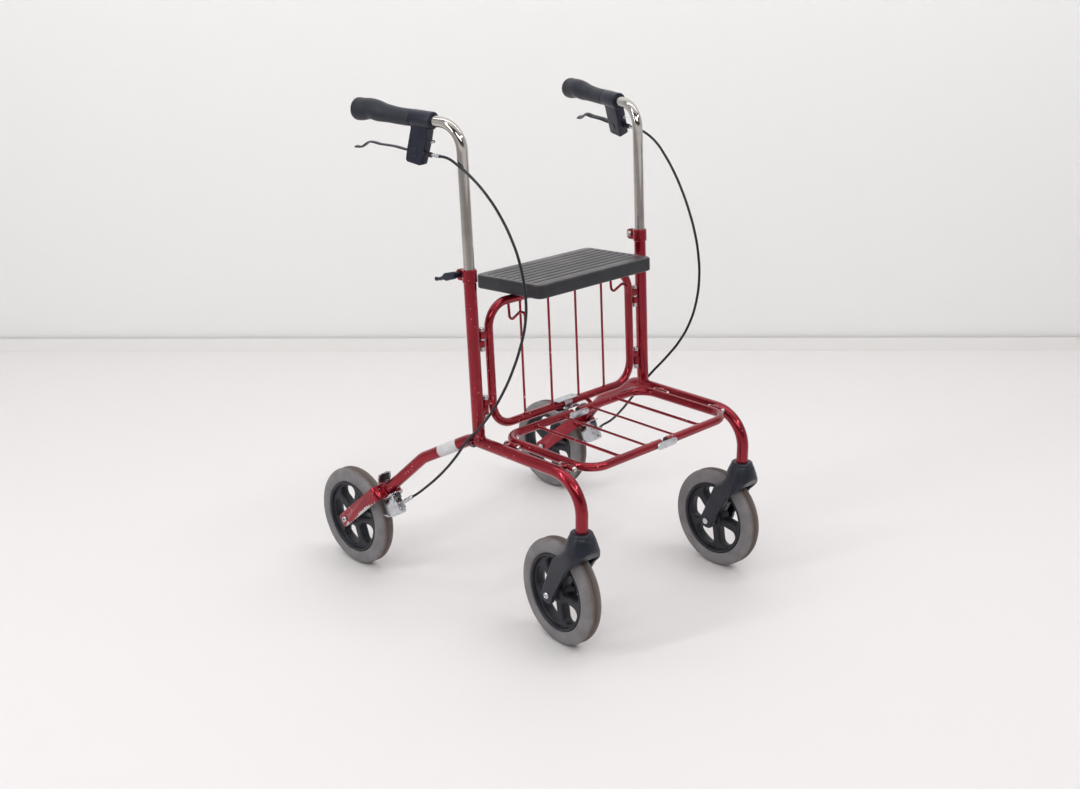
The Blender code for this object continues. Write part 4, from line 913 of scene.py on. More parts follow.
def tyre(name, place):
    """Two lobes and a crease, with the number that tells the finish how far a point is from it."""
    half = [(TYRE_R - 0.0042, 0.0), (TYRE_R - 0.0039, 0.0006), (TYRE_R - 0.0027, 0.0016),
            (TYRE_R - 0.0012, 0.0030), (TYRE_R - 0.0003, 0.0046), (TYRE_R, 0.0064),
            (TYRE_R - 0.0003, 0.0086), (TYRE_R - 0.0013, 0.0110), (TYRE_R - 0.0031, 0.0134),
            (TYRE_R - 0.0058, 0.0155), (TYRE_R - 0.0092, 0.0170), (TYRE_R - 0.0130, 0.0177),
            (TYRE_R - 0.0172, TYRE_HALF_WIDTH), (TYRE_R - 0.0212, 0.0174), (TYRE_R - 0.0240, 0.0166),
            (TYRE_R - 0.0255, 0.0155), (TYRE_INNER_R, 0.0140)]
    profile = half[::-1] + [(radius, -width) for radius, width in half[1:]]
    axle = along_x(place)
    piece = turned(name, profile, axle, 160)
    inverse = axle.inverted()
    across = piece.data.attributes.new("across", "FLOAT", "POINT")
    for vertex, stored in zip(piece.data.vertices, across.data):
        stored.value = abs((inverse @ vertex.co).z) / TYRE_HALF_WIDTH
    return piece


print("tyre outside", 2 * TYRE_R)

# %% Rims
RIM_R = 0.0735
RIM_HALF_WIDTH = 0.0155
WEB_R = 0.0724
SPOKES = 5
SPOKE_HALF_WIDTH = 0.0090
SPOKE_HALF_DEPTH = 0.0100


def spoke_opening(index):
    """Rounded opening between two spokes."""
    inner_r, outer_r = 0.0235, 0.0622
    half_pitch = math.pi / SPOKES
    inner = half_pitch - math.asin(SPOKE_HALF_WIDTH / inner_r)
    outer = half_pitch - math.asin(SPOKE_HALF_WIDTH / outer_r)
    turn = math.tau * index / SPOKES
    corners = []
    for radius, angle, fillet in (
            (inner_r, -inner, 0.0030), (outer_r, -outer, 0.0110), (outer_r * 1.055, 0.0, 0.0350),
            (outer_r, outer, 0.0110), (inner_r, inner, 0.0030)):
        corners.append((radius * math.cos(turn + angle), radius * math.sin(turn + angle), fillet))
    return outline(corners, math.radians(10))


def rim(name, wheel, hub_half, spoke_turn):
    """A deep band with draft, five rounded spokes set back from its face, and a hub."""
    place = along_x(wheel)
    half = [(RIM_R, 0.0136), (RIM_R - 0.0008, 0.0149), (RIM_R - 0.0020, RIM_HALF_WIDTH),
            (RIM_R - 0.0038, RIM_HALF_WIDTH), (RIM_R - 0.0050, 0.0148), (RIM_R - 0.0057, 0.0134),
            (RIM_R - 0.0078, 0.0070), (RIM_R - 0.0086, 0.0)]
    band = turned(name, half + [(radius, -width) for radius, width in half[-2::-1]], place, 144)
    openings = [spoke_opening(index) for index in range(SPOKES)]
    web = flat_form("web", [ring_points(WEB_R, 96), *openings], 2 * SPOKE_HALF_DEPTH,
                    place @ Matrix.Rotation(spoke_turn, 4, "Z"), 0.0042, 4)
    core = [(0.0052, hub_half), (0.0098, hub_half), (0.0112, hub_half - 0.0012), (0.0122, 0.0150),
            (0.0136, 0.0120), (0.0162, 0.0101), (0.0200, 0.0092), (0.0240, 0.0080)]
    hub = turned("hub", core + [(radius, -width) for radius, width in core[::-1]], place, 72)
    return gathered(band, web, hub)


print("rim half width", RIM_HALF_WIDTH)

# %% Axle bolts
def axle_bolt(name, side, wheel, half_width):
    """A button head with a socket outside and a low nut inside."""
    face = half_width + 0.0003
    place = wheel @ Matrix.Rotation(side * math.pi / 2, 4, "Y")
    return turned(name, [
        (0.0, face + 0.0010), (0.0022, face + 0.0010), (0.0024, face + 0.0026), (0.0030, face + 0.0033),
        (0.0040, face + 0.0032), (0.0052, face + 0.0024), (0.0061, face + 0.0011), (0.0062, face),
        (0.0040, face), (0.0040, -face), (0.0060, -face), (0.0062, -face - 0.0006),
        (0.0062, -face - 0.0028), (0.0056, -face - 0.0035), (0.0, -face - 0.0036)], place, 48)


print("front axle length", 2 * FORK_ARM_OUT)

# %% Put the wheels on
FRONT_SPOKE_TURN = math.radians(26)
REAR_SPOKE_TURN = math.radians(15)
FRONT_HUB_HALF = 0.0240
REAR_HUB_HALF = 0.0270
for side, hand in SIDES:
    for end, wheel, hub_half, half_width, turn, spinner, holder in (
            ("front", front_wheel_frame(side), FRONT_HUB_HALF, FORK_ARM_OUT, FRONT_SPOKE_TURN,
             f"{hand}_front_wheel", f"{hand}_caster"),
            ("rear", rear_wheel_frame(side), REAR_HUB_HALF, STRAP_OUT, REAR_SPOKE_TURN,
             f"{hand}_rear_wheel", f"{hand}_side")):
        finished(tyre(f"{hand}_{end}_tyre_rubber", wheel), tyre_grey, spinner, "tyre_rubber",
                 f"{hand}_{end}_tyre", sharp=50)
        finished(rim(f"{hand}_{end}_rim_moulding", wheel, hub_half, turn), rim_black, spinner, "rim_plastic",
                 f"{hand}_{end}_rim", sharp=40)
        finished(axle_bolt(f"{hand}_{end}_axle_bolt", side, wheel, half_width), zinc, holder, "zinc_steel",
                 f"{hand}_{end}_axle")
print("four wheels on")

# %% [markdown]
# ## Caster forks
# Each front fork is one moulding with no sharp edge. It could be sculpted, but then it wouldn't keep its
# measures. Here the rough shape is where its side, front and top views and a turned shoulder overlap.
# A voxel remesh and some smoothing melt it into one skin, and the holes are cut after that, so they
# stay crisp.

# %% Caster forks
AXLE_HOLE_R = 0.0045
FORK_SLOT_HALF = 0.0262
FORK_SLOT_R = 0.1143
VOXEL = 0.0014
MELT_ROUNDS = 3


def fork_shape(name, side):
    """The form that the three views and the shoulder share, melted into one skin."""
    front = caster_frame(side)
    side_view = outline([
        (-0.0210, 0.2290, 0.0), (-0.0300, 0.2170, 0.008), (-0.0295, 0.2050, 0.006),
        (-0.0172, 0.1878, 0.008), (0.0030, 0.1672, 0.020), (TRAIL - 0.0174, 0.1040, 0.006),
        (TRAIL - 0.0128, 0.0850, 0.012), (TRAIL + 0.0128, 0.0850, 0.013),
        (TRAIL + 0.0144, 0.1060, 0.012), (0.0510, 0.1530, 0.040), (0.0335, 0.1980, 0.030),
        (0.0190, 0.2290, 0.0)])
    out = FORK_ARM_OUT + 0.0003
    half_view = [(0.0208, 0.2300), (0.0272, 0.2190), (0.0328, 0.2030), (out, 0.1880), (out, 0.1350),
                 (out, 0.0790)]
    front_view = half_view + [(-x, z) for x, z in reversed(half_view)]
    top_view = outline([(-out, -0.0305, 0.0320), (out, -0.0305, 0.0320), (out, 0.10, 0), (-out, 0.10, 0)])
    fork = flat_form(name, [side_view], 0.100, plane(front, "Y", "Z"))
    shoulder = turned("shoulder", [
        (0.0, 0.2320), (0.0212, 0.2320), (0.0232, 0.2280), (0.0262, 0.2210), (0.0292, 0.2120),
        (0.0322, 0.2020), (0.0390, 0.1900), (0.0950, 0.1400), (0.0950, 0.0500), (0.0, 0.0500)], front, 64)
    common(fork, flat_form("front_view", [front_view], 0.200, plane(front, "X", "Z")),
           flat_form("top_view", [top_view], 0.500, front), shoulder)
    neck = turned("neck", [
        (0.0, 0.2330), (0.0190, 0.2330), (0.0212, 0.2312), (0.0220, 0.2260), (0.0238, 0.2180),
        (0.0, 0.2120)], front, 64)
    welded(fork, neck)
    wheel = front_wheel_frame(side)
    slot = Vector((FORK_SLOT_HALF, 0, 0))
    cut(fork, rod("slot", wheel @ -slot, wheel @ slot, FORK_SLOT_R, 96))
    return moulded(fork, VOXEL, MELT_ROUNDS)


def caster_fork(name, side):
    """The fork with its axle hole, its cap under the stem and a ledge round the bolt's head."""
    fork = fork_shape(name, side)
    wheel = front_wheel_frame(side)
    cap = turned("cap", [
        (0.0118, 0.2352), (0.0122, 0.2364), (0.0140, 0.2368), (0.0176, 0.2366), (0.0200, 0.2354),
        (0.0211, 0.2334), (0.0214, 0.2312), (0.0206, 0.2302), (0.0118, 0.2302)], caster_frame(side), 72)
    hole = Vector((0.05, 0, 0))
    cut(fork, rod("axle_hole", wheel @ -hole, wheel @ hole, AXLE_HOLE_R))
    ledge = turned("ledge", [
        (radius, side * (FORK_ARM_OUT - depth)) for radius, depth in (
            (0.0066, 0.0), (0.0092, 0.0), (0.0096, 0.0006), (0.0096, 0.0020), (0.0066, 0.0020))],
        along_x(wheel), 48)
    return gathered(fork, cap, ledge)


def bearing(name, side):
    """Dark seal between the fork's cap and the red tube, and the pivot inside it."""
    return turned(name, [
        (0.0, 0.2410), (0.0092, 0.2410), (0.0098, 0.2372), (0.0116, 0.2366), (0.0117, 0.2338),
        (0.0, 0.2338)], caster_frame(side), 48)


for side, hand in SIDES:
    finished(caster_fork(f"{hand}_caster_moulding", side), fork_black, f"{hand}_caster", "fork_plastic",
             f"{hand}_caster_fork", sharp=40)
    finished(bearing(f"{hand}_stem_seal", side), cap_black, f"{hand}_caster", "black_plastic")
print("forks done")

# %% [markdown]
# ## Side frames
# One tube runs from the caster up, back along the rail and down to the rear fork. The upright is
# welded on top of it and ends in a split collar. The tubes could be joined with a Boolean, but a weld
# isn't a clean line, so they only meet, and each joint gets a bead that rises and falls a little.

# %% Weld beads
SADDLE_STEPS = 96


def bead(name, points, size, seed):
    """A rippled bead along a closed or open line of points."""
    swell = [1.0 + 0.30 * noise.noise(Vector((index * 0.55, seed, 0.0))) for index in range(len(points))]
    return swept(name, points, size, 10, swell)


def ring_bead(name, place, radius, size, seed, steps=72):
    """Bead round a bar that stands on a flat face."""
    points = [place @ Vector((radius * math.cos(math.tau * step / steps),
                              radius * math.sin(math.tau * step / steps), 0)) for step in range(steps + 1)]
    return bead(name, points, size, seed)


def saddle_bead(name, place, radius, pipe_r, size, seed):
    """Bead where an upright bar of the radius meets a pipe along the place's Y axis."""
    points = []
    for step in range(SADDLE_STEPS + 1):
        angle = math.tau * step / SADDLE_STEPS
        across = radius * math.cos(angle)
        rise = math.sqrt(max(pipe_r ** 2 - across ** 2, 0.000016))
        points.append(place @ Vector((across, radius * math.sin(angle), rise)))
    return bead(name, points, size, seed)


print("beads ready")

# %% Hinge barrels
HINGE_X = 0.2075
TRAY_Z = 0.3375
KNUCKLE_R = 0.0055
WEB_START = 0.0042
WEB_HALF = 0.0034
WEB_INSET = 0.0008
UPRIGHT_BORE_R = 0.0104


def barrel(start, end):
    """A short tube of the hinge, with broken edges."""
    return softened(rod("barrel", start, end, KNUCKLE_R), 0.0005)


def web_ends(side, tube_x, into=0.0040):
    """Where a web starts beside the hinge line, and where it ends in its tube."""
    return (side * (HINGE_X + math.copysign(WEB_START, tube_x - HINGE_X)),
            side * (tube_x - math.copysign(into, tube_x - HINGE_X)))


def back_knuckles(side, tube_x, spans):
    """Hinge barrels, each on a web. On the upright the web stops short of the bore."""
    pieces = []
    if tube_x == SIDE_X:
        start, end = web_ends(side, tube_x, UPRIGHT_BORE_R + 0.0003)
    else:
        start, end = web_ends(side, tube_x)
    for low, high in spans:
        pieces.append(barrel(raked(side * HINGE_X, 0, low), raked(side * HINGE_X, 0, high)))
        web = block("web", (start, -WEB_HALF, up(low + WEB_INSET)), (end, WEB_HALF, up(high - WEB_INSET)),
                    RAKE_FRAME)
        pieces.append(softened(web, 0.0006, 3))
    return pieces


def tray_barrels(side, tube_x, spans):
    """The same for the tray, whose hinge line runs from front to rear."""
    pieces = []
    start, end = web_ends(side, tube_x)
    for front, rear in spans:
        pieces.append(barrel((side * HINGE_X, front, TRAY_Z), (side * HINGE_X, rear, TRAY_Z)))
        web = block("web", (start, front + WEB_INSET, TRAY_Z - WEB_HALF),
                    (end, rear - WEB_INSET, TRAY_Z + WEB_HALF))
        pieces.append(softened(web, 0.0012, 3))
    return pieces


print("barrel size", 2 * KNUCKLE_R)

# %% Chassis tubes
CHASSIS_R = 0.01125
STEM_BOTTOM = 0.2370
LEG_TOP = (SIDE_X, -0.0348, RAIL_Z)
LEG_KNEE = (0.2566, 0.0738, 0.2713)
LEG_END = (0.2830, 0.1703, 0.1737)
CROWN_FACE = 0.1365


def chassis_tube(name, side):
    """The long bent tube, cut off where it meets the strap's crown."""
    tube = swept(name, route([(sided(side, point), radius) for point, radius in (
        ((STEM_X, STEM_Y, STEM_BOTTOM), 0), ((STEM_X, STEM_Y, RAIL_Z), 0.068), (LEG_TOP, 0.050),
        (LEG_KNEE, 0.060), (LEG_END, 0))]), CHASSIS_R, 40)
    return cut(tube, block("crown_cut", (-0.05, -0.05, 0.05), (0.05, 0.05, CROWN_FACE - 0.0012),
                           strap_frame(side)))


print("chassis tube", 2 * CHASSIS_R, "across")

# %% Uprights
UPRIGHT_R = 0.0115
BORE_BOTTOM = 0.3652
COLLAR_R = 0.0135
COLLAR_BOTTOM = 0.6320
COLLAR_TOP = 0.6550


def upright_tube(side):
    """The upright with its bore, its collar and the two ears of the clamp."""
    post = Matrix.Translation(raked(side * SIDE_X, 0, RAIL_Z)) @ Matrix.Rotation(-RAKE, 4, "X")
    bore_end = up(BORE_BOTTOM) - up(RAIL_Z)
    band_low = up(COLLAR_BOTTOM) - up(RAIL_Z)
    band_top = up(COLLAR_TOP) - up(RAIL_Z)
    upright = turned("upright", [
        (UPRIGHT_R, 0.0), (UPRIGHT_R, band_low - 0.0010), (COLLAR_R - 0.0006, band_low),
        (COLLAR_R, band_low + 0.0008), (COLLAR_R, band_top - 0.0012), (COLLAR_R - 0.0010, band_top),
        (UPRIGHT_BORE_R + 0.0006, band_top), (UPRIGHT_BORE_R, band_top - 0.0008),
        (UPRIGHT_BORE_R, bore_end), (0.0, bore_end), (0.0, 0.0)], post, 64)
    ear_low = up(COLLAR_BOTTOM + 0.0012)
    ear_high = up(COLLAR_TOP - 0.0012)
    ear_view = outline([
        (0.0095, ear_low, 0), (0.0310, ear_low, 0.0075), (0.0310, ear_high, 0.0075), (0.0095, ear_high, 0)])
    ears = flat_form("ears", [ear_view], 0.0090,
                     plane(RAKE_FRAME @ Matrix.Translation((side * SIDE_X, 0, 0)), "Y", "Z"), 0.0006)
    bore = rod("bore", raked(side * SIDE_X, 0, 0.60), raked(side * SIDE_X, 0, 0.70), UPRIGHT_BORE_R, 64)
    slit = block("slit", (side * SIDE_X - 0.0015, 0.004, up(0.626)),
                 (side * SIDE_X + 0.0015, 0.040, up(0.670)), RAKE_FRAME)
    return cut(welded(upright, ears), bore, slit)


print("collar height", round(COLLAR_TOP - COLLAR_BOTTOM, 4))

# %% Side frames
def side_frame(name, side):
    """Both tubes with the lip at the stem, the welds and the hinge barrels."""
    chassis = chassis_tube(name, side)
    upright = upright_tube(side)
    stem_lip = turned("stem_lip", [
        (CHASSIS_R - 0.0020, 0.0), (CHASSIS_R + 0.0004, 0.0), (CHASSIS_R + 0.0007, 0.0007),
        (CHASSIS_R + 0.0004, 0.0016), (CHASSIS_R - 0.0020, 0.0016)],
        Matrix.Translation((side * STEM_X, STEM_Y, STEM_BOTTOM)), 56)
    crown = strap_frame(side) @ Vector((0, 0, CROWN_FACE))
    knee = sided(side, LEG_KNEE)
    heading = (knee - sided(side, LEG_END)).normalized()
    normal = strap_frame(side).to_3x3() @ AXES["Z"]
    meet = knee - heading * ((knee - crown).dot(normal) / heading.dot(normal))
    post_foot = Matrix.Translation((side * SIDE_X, raked(0, 0, RAIL_Z + 0.011).y, RAIL_Z))
    crown_place = aimed(meet + normal * 0.0003, normal)
    beads = [
        saddle_bead("post_bead", post_foot, UPRIGHT_R + 0.0002, CHASSIS_R, 0.0016, 3.0 + side),
        ring_bead("crown_bead", crown_place, CHASSIS_R + 0.0006, 0.0017, 7.0 + side)]
    return gathered(chassis, upright, stem_lip, *beads,
                    *back_knuckles(side, SIDE_X, ((0.3810, 0.3963), (0.5087, 0.5210))),
                    *tray_barrels(side, SIDE_X, ((-0.262, -0.248), (-0.122, -0.108))))


print("side frame ready")

# %% Rear forks
STRAP = 0.0030
STRAP_HALF_WIDTH = 0.0140


def rear_fork(name, side):
    """Steel strap bent into a U over the wheel, with round ends at the axle."""
    place = strap_frame(side)
    inside = STRAP_OUT - STRAP
    strap = flat_form(name, [outline([
        (-STRAP_OUT, -0.030, 0), (-STRAP_OUT, CROWN_FACE, 0.0120), (STRAP_OUT, CROWN_FACE, 0.0120),
        (STRAP_OUT, -0.030, 0), (inside, -0.030, 0), (inside, CROWN_FACE - STRAP, 0.0090),
        (-inside, CROWN_FACE - STRAP, 0.0090), (-inside, -0.030, 0)])], 0.050, plane(place, "X", "Z"))
    side_view = outline([
        (-STRAP_HALF_WIDTH, -STRAP_HALF_WIDTH, 0.0070), (STRAP_HALF_WIDTH, -STRAP_HALF_WIDTH, 0.0070),
        (STRAP_HALF_WIDTH, 0.150, 0), (-STRAP_HALF_WIDTH, 0.150, 0)])
    common(strap, flat_form("strap_view", [side_view], 0.100, plane(place, "Y", "Z")))
    reach = Vector((0.05, 0, 0))
    cut(strap, rod("hole", place @ -reach, place @ reach, AXLE_HOLE_R))
    return softened(strap, 0.0006, 2, 50)


print("strap width", 2 * STRAP_HALF_WIDTH)

# %% [markdown]
# ### Worn paint on the near strap
# The paint of the right rear strap is rubbed off in a row of spots near one edge. An edge mask would
# wear every strap the same way, so this one finish is given a list of places and sizes instead.

# %% Worn paint and the side frames
worn_spots = []
for aside, along, radius in (
        (-0.0125, -0.0020, 0.0032), (-0.0120, 0.0060, 0.0044), (-0.0135, 0.0160, 0.0016),
        (-0.0140, 0.0260, 0.0018), (-0.0142, 0.0360, 0.0024), (-0.0138, 0.0450, 0.0034),
        (-0.0132, 0.0545, 0.0046), (-0.0130, 0.0630, 0.0052), (-0.0132, 0.0720, 0.0050),
        (-0.0130, 0.0810, 0.0056), (-0.0134, 0.0900, 0.0050), (-0.0138, 0.0990, 0.0042),
        (-0.0140, 0.1090, 0.0034), (-0.0142, 0.1200, 0.0026), (0.0138, 0.0330, 0.0016),
        (0.0140, 0.0700, 0.0012)):
    worn_spots.append((tuple(strap_frame(-1) @ Vector((-STRAP_OUT, aside, along))), radius))
worn_red = red_paint("worn_red", dict(Scale=230.0, Clusters=12.0, Edge=0.5, Amount=0.55), worn_spots)
for side, hand in SIDES:
    finished(side_frame(f"{hand}_side_tubes", side), frame_red, f"{hand}_side", "frame_paint",
             f"{hand}_side_frame", sharp=35)
    finished(rear_fork(f"{hand}_rear_strap", side), worn_red if side < 0 else frame_red, f"{hand}_side",
             "frame_paint", f"{hand}_rear_fork")
print("side frames done")

# %% [markdown]
# ## Clamps
# A bolt squeezes the split collar, and a plastic lever with a round body and a thin finger tightens it.
# The bolt is a profile spun round its axis. The lever has no axis of its own, so its body is a flat form
# with soft edges and its finger a swept bar. Each lever was left at its own angle.

# %% Clamp bolts and levers
CLAMP_DEPTH = 0.0230
CLAMP_Z = 0.6445
CLAMP_LEVER_GAP = 0.0053
CLAMP_ANGLES = {-1: math.radians(-17), 1: math.radians(-100)}


def clamp_bolt(name, side):
    """Round head, and a shank that ends in the lever's body."""
    place = (Matrix.Translation(raked(side * SIDE_X, CLAMP_DEPTH, CLAMP_Z))
             @ Matrix.Rotation(side * math.pi / 2, 4, "Y"))
    ear_half = 0.0045
    head = -ear_half - 0.0003
    return turned(name, [
        (0.0, 0.0142), (0.0030, 0.0142), (0.0030, head), (0.0052, head), (0.0060, head - 0.0005),
        (0.0060, head - 0.0016), (0.0054, head - 0.0030), (0.0040, head - 0.0040),
        (0.0022, head - 0.0044), (0.0, head - 0.0045)], place, 40)


def clamp_lever(name, side):
    """Round body on the bolt, and a thin finger that thickens again at its tip."""
    middle = raked(side * SIDE_X, CLAMP_DEPTH, CLAMP_Z)
    place = plane(Matrix.Translation(middle)
                  @ Matrix.Translation((side * (COLLAR_R + CLAMP_LEVER_GAP), 0, 0))
                  @ Matrix.Rotation(CLAMP_ANGLES[side], 4, "X"), "Y", "Z")
    body_view = outline([
        (-0.0074, -0.0066, 0.0060), (0.0195, -0.0072, 0.004), (0.0262, -0.0034, 0.003),
        (0.0262, 0.0034, 0.003), (0.0195, 0.0072, 0.004), (-0.0074, 0.0066, 0.0060)])
    body = flat_form(name, [body_view], 0.0092, place, 0.0026, 4)
    line = smooth_line([place @ Vector((along, aside, 0)) for along, aside in (
        (0.0215, 0.0), (0.0275, -0.0006), (0.0340, -0.0014), (0.0400, -0.0012), (0.0448, -0.0008),
        (0.0478, -0.0004))], 6)
    swell = [1.45 - 0.020 * step if step < 18 else 1.09 + 0.028 * (step - 18) for step in range(31)]
    finger = swept("finger", line, 0.0026, 24, swell, 1.2)
    inner = middle + Vector((side * 0.0048, 0, 0))
    outer = middle + Vector((side * 0.0165, 0, 0))
    hub = softened(rod("hub", inner, outer, 0.0060, 40), 0.0006, 2)
    return gathered(body, finger, hub)


for side, hand in SIDES:
    finished(clamp_bolt(f"{hand}_collar_bolt", side), steel_pin, f"{hand}_side", "zinc_steel",
             f"{hand}_clamp_bolt")
    finished(clamp_lever(f"{hand}_collar_lever", side), housing_black, f"{hand}_clamp", "black_plastic",
             f"{hand}_clamp_lever")
print("clamps done")

# %% [markdown]
# ## Handles
# The chrome tube slides in the upright, bends back and carries a foam grip that swells towards its
# butt. A grip could be turned, but its centre line rises and falls a little. So it is swept through a
# few measured stations, each with its own height and radius and a smooth curve between them.

# %% Handle tubes and grips
HANDLE_R = 0.0099
HANDLE_STEM = 0.4017
HANDLE_BEND = 0.0480
HANDLE_END = 0.2320


def handle_tube(name, side):
    """Up out of the upright, round one bend and back into the grip."""
    place = grip_frame(side)
    foot = raked(side * SIDE_X, 0, HANDLE_SETTINGS[side][0] - HANDLE_STEM)
    end = place @ Vector((0, HANDLE_END, 0))
    return swept(name, route([(foot, 0), (place.translation, HANDLE_BEND), (end, 0)], math.radians(3)),
                 HANDLE_R, 48)


def grip(name, side):
    """A foam sleeve, slim in the middle and thick at the butt."""
    place = grip_frame(side)
    # each station is a distance back, a height and a radius
    stations = [
        (0.1062, 0.0, 0.0112), (0.1064, 0.0, 0.0136), (0.1074, 0.0, 0.0147), (0.1110, -0.0002, 0.0151),
        (0.1240, -0.0006, 0.0152), (0.1400, -0.0006, 0.0152), (0.1560, 0.0, 0.0156),
        (0.1700, 0.0006, 0.0165), (0.1820, 0.0014, 0.0180), (0.1920, 0.0028, 0.0187),
        (0.2020, 0.0040, 0.0185), (0.2110, 0.0034, 0.0189), (0.2190, 0.0020, 0.0197),
        (0.2260, 0.0010, 0.0203), (0.2320, 0.0006, 0.0205), (0.2360, 0.0005, 0.0202),
        (0.2386, 0.0004, 0.0190), (0.2402, 0.0004, 0.0164), (0.2409, 0.0004, 0.0124),
        (0.2411, 0.0004, 0.0060)]
    line = smooth_line(stations, 5)
    points = [place @ Vector((0, point.x, point.y)) for point in line]
    return swept(name, points, 1.0, 56, [point.z for point in line])


for side, hand in SIDES:
    finished(handle_tube(f"{hand}_chrome_tube", side), chrome, f"{hand}_handle", "handle_chrome",
             f"{hand}_handle_tube", sharp=60)
    finished(grip(f"{hand}_foam_grip", side), grip_foam, f"{hand}_handle", "grip_rubber", f"{hand}_grip",
             sharp=60)
print("grips done")

# %% [markdown]
# ## Hand brakes
# The housing is a flat block round the tube with a slot for the lever. At its front are a screw, a
# black nut and the bright barrel that adjusts the cable. One long bevelled box would look like a toy,
# so an outline, a sleeve and a cheek are welded, then the tube's hole and the lever's slot are cut.

# %% Brake housings
CABLE_Z = -0.0590
CABLE_OUT = 0.0040


def cable_point(side, back_to):
    """A point of the cable's line through the housing."""
    return grip_frame(side) @ Vector((side * CABLE_OUT, back_to, CABLE_Z))


def brake_housing(name, side):
    """Block, sleeve and cheek in one, with the boss that the cable's adjuster screws into."""
    place = grip_frame(side)
    body_view = outline([
        (0.0632, 0.0060, 0), (0.0700, -0.0340, 0.003), (0.0825, -0.0810, 0.0045),
        (0.1170, -0.0770, 0.0055), (0.1140, -0.0570, 0.005), (0.1053, -0.0175, 0.003),
        (0.1050, 0.0060, 0)])
    body = flat_form(name, [body_view], 0.0212, plane(place, "Y", "Z"), 0.0026, 3)
    sleeve = turned("sleeve", [
        (0.0102, 0.0), (0.0146, 0.0), (0.0154, 0.0008), (0.0156, 0.0020), (0.0156, 0.0425), (0.0154, 0.0442),
        (0.0146, 0.0450), (0.0102, 0.0450)],
        place @ Matrix.Translation((0, 0.1055, 0)) @ Matrix.Rotation(math.pi / 2, 4, "X"))
    boss = softened(rod("boss", cable_point(side, 0.0742), cable_point(side, 0.0840), 0.0058, 40), 0.0006)
    tube_hole = rod("tube_hole", place @ Vector((0, 0.040, 0)), place @ Vector((0, 0.130, 0)), 0.0101, 64)
    slot = block("slot", (-0.0067, 0.0865, -0.0690), (0.0067, 0.1300, -0.0440), place)
    cheek = softened(block("cheek", (-0.0118, 0.0890, -0.0665), (0.0118, 0.1060, -0.0490), place), 0.0034, 4)
    cut(welded(body, sleeve, cheek), tube_hole, slot)
    return gathered(body, boss)


def housing_screw(name, side):
    """Small screw in the housing's front face."""
    place = grip_frame(side)
    start = place @ Vector((0, 0.0690, -0.0375))
    outward = (place.to_3x3() @ Vector((0, -0.985, 0.17))).normalized()
    return turned(name, [
        (0.0, 0.0088), (0.0014, 0.0088), (0.0016, 0.0105), (0.0024, 0.0110), (0.0030, 0.0104),
        (0.0031, 0.0074), (0.0020, 0.0070), (0.0020, 0.0), (0.0, 0.0)], aimed(start, outward), 32)


print("housing thickness", 0.0212)

# %% Brake levers
LEVER_PIVOT = (0.0970, -0.0560)


def lever(name, side):
    """Pressed lever, thicker at the pivot, with a hump and a turned-down tip."""
    place = grip_frame(side)
    centre_line = smooth_line([
        (*LEVER_PIVOT, 0), (0.1080, -0.0572, 0), (0.1220, -0.0580, 0), (0.1350, -0.0570, 0),
        (0.1490, -0.0560, 0), (0.1680, -0.0562, 0), (0.1850, -0.0565, 0), (0.1960, -0.0555, 0),
        (0.2050, -0.0554, 0), (0.2120, -0.0570, 0), (0.2190, -0.0615, 0), (0.2260, -0.0663, 0),
        (0.2316, -0.0680, 0), (0.2414, -0.0687, 0)], 6)
    count = len(centre_line)
    swell = [1.25 - 0.25 * min(1.0, index / 12) + 0.22 * max(0.0, (index - count + 12) / 12)
             for index in range(count)]
    points = [place @ Vector((0, point.x, point.y)) for point in centre_line]
    blade = swept(name, points, 0.0019, 28, swell, 3.1, place.to_3x3() @ AXES["Z"])
    half = Vector((0.0061, 0, 0))
    pivot = Vector((0, *LEVER_PIVOT))
    hub = softened(rod("hub", place @ (pivot - half), place @ (pivot + half), 0.0060, 40), 0.0005)
    return gathered(blade, hub)


print("lever pivot", LEVER_PIVOT)

# %% Adjusters
def adjuster(name, side):
    """Barrel with a waist near its front end."""
    rear, front = cable_point(side, 0.0652), cable_point(side, 0.0431)
    return turned(name, [
        (0.0, 0.0), (0.0034, 0.0), (0.0036, 0.0003), (0.0036, 0.0036), (0.0031, 0.0040), (0.0031, 0.0048),
        (0.0036, 0.0052), (0.0036, 0.0120), (0.0030, 0.0124), (0.0030, 0.0221), (0.0, 0.0221)],
        aimed(front, rear - front), 40)


def lock_nut(name, side):
    """Hexagonal nut between the adjuster and the housing."""
    return softened(rod(name, cable_point(side, 0.0742), cable_point(side, 0.0600), 0.0050, 6), 0.0005)


print("adjuster front at", tuple(round(value, 3) for value in cable_point(1, 0.0431)))
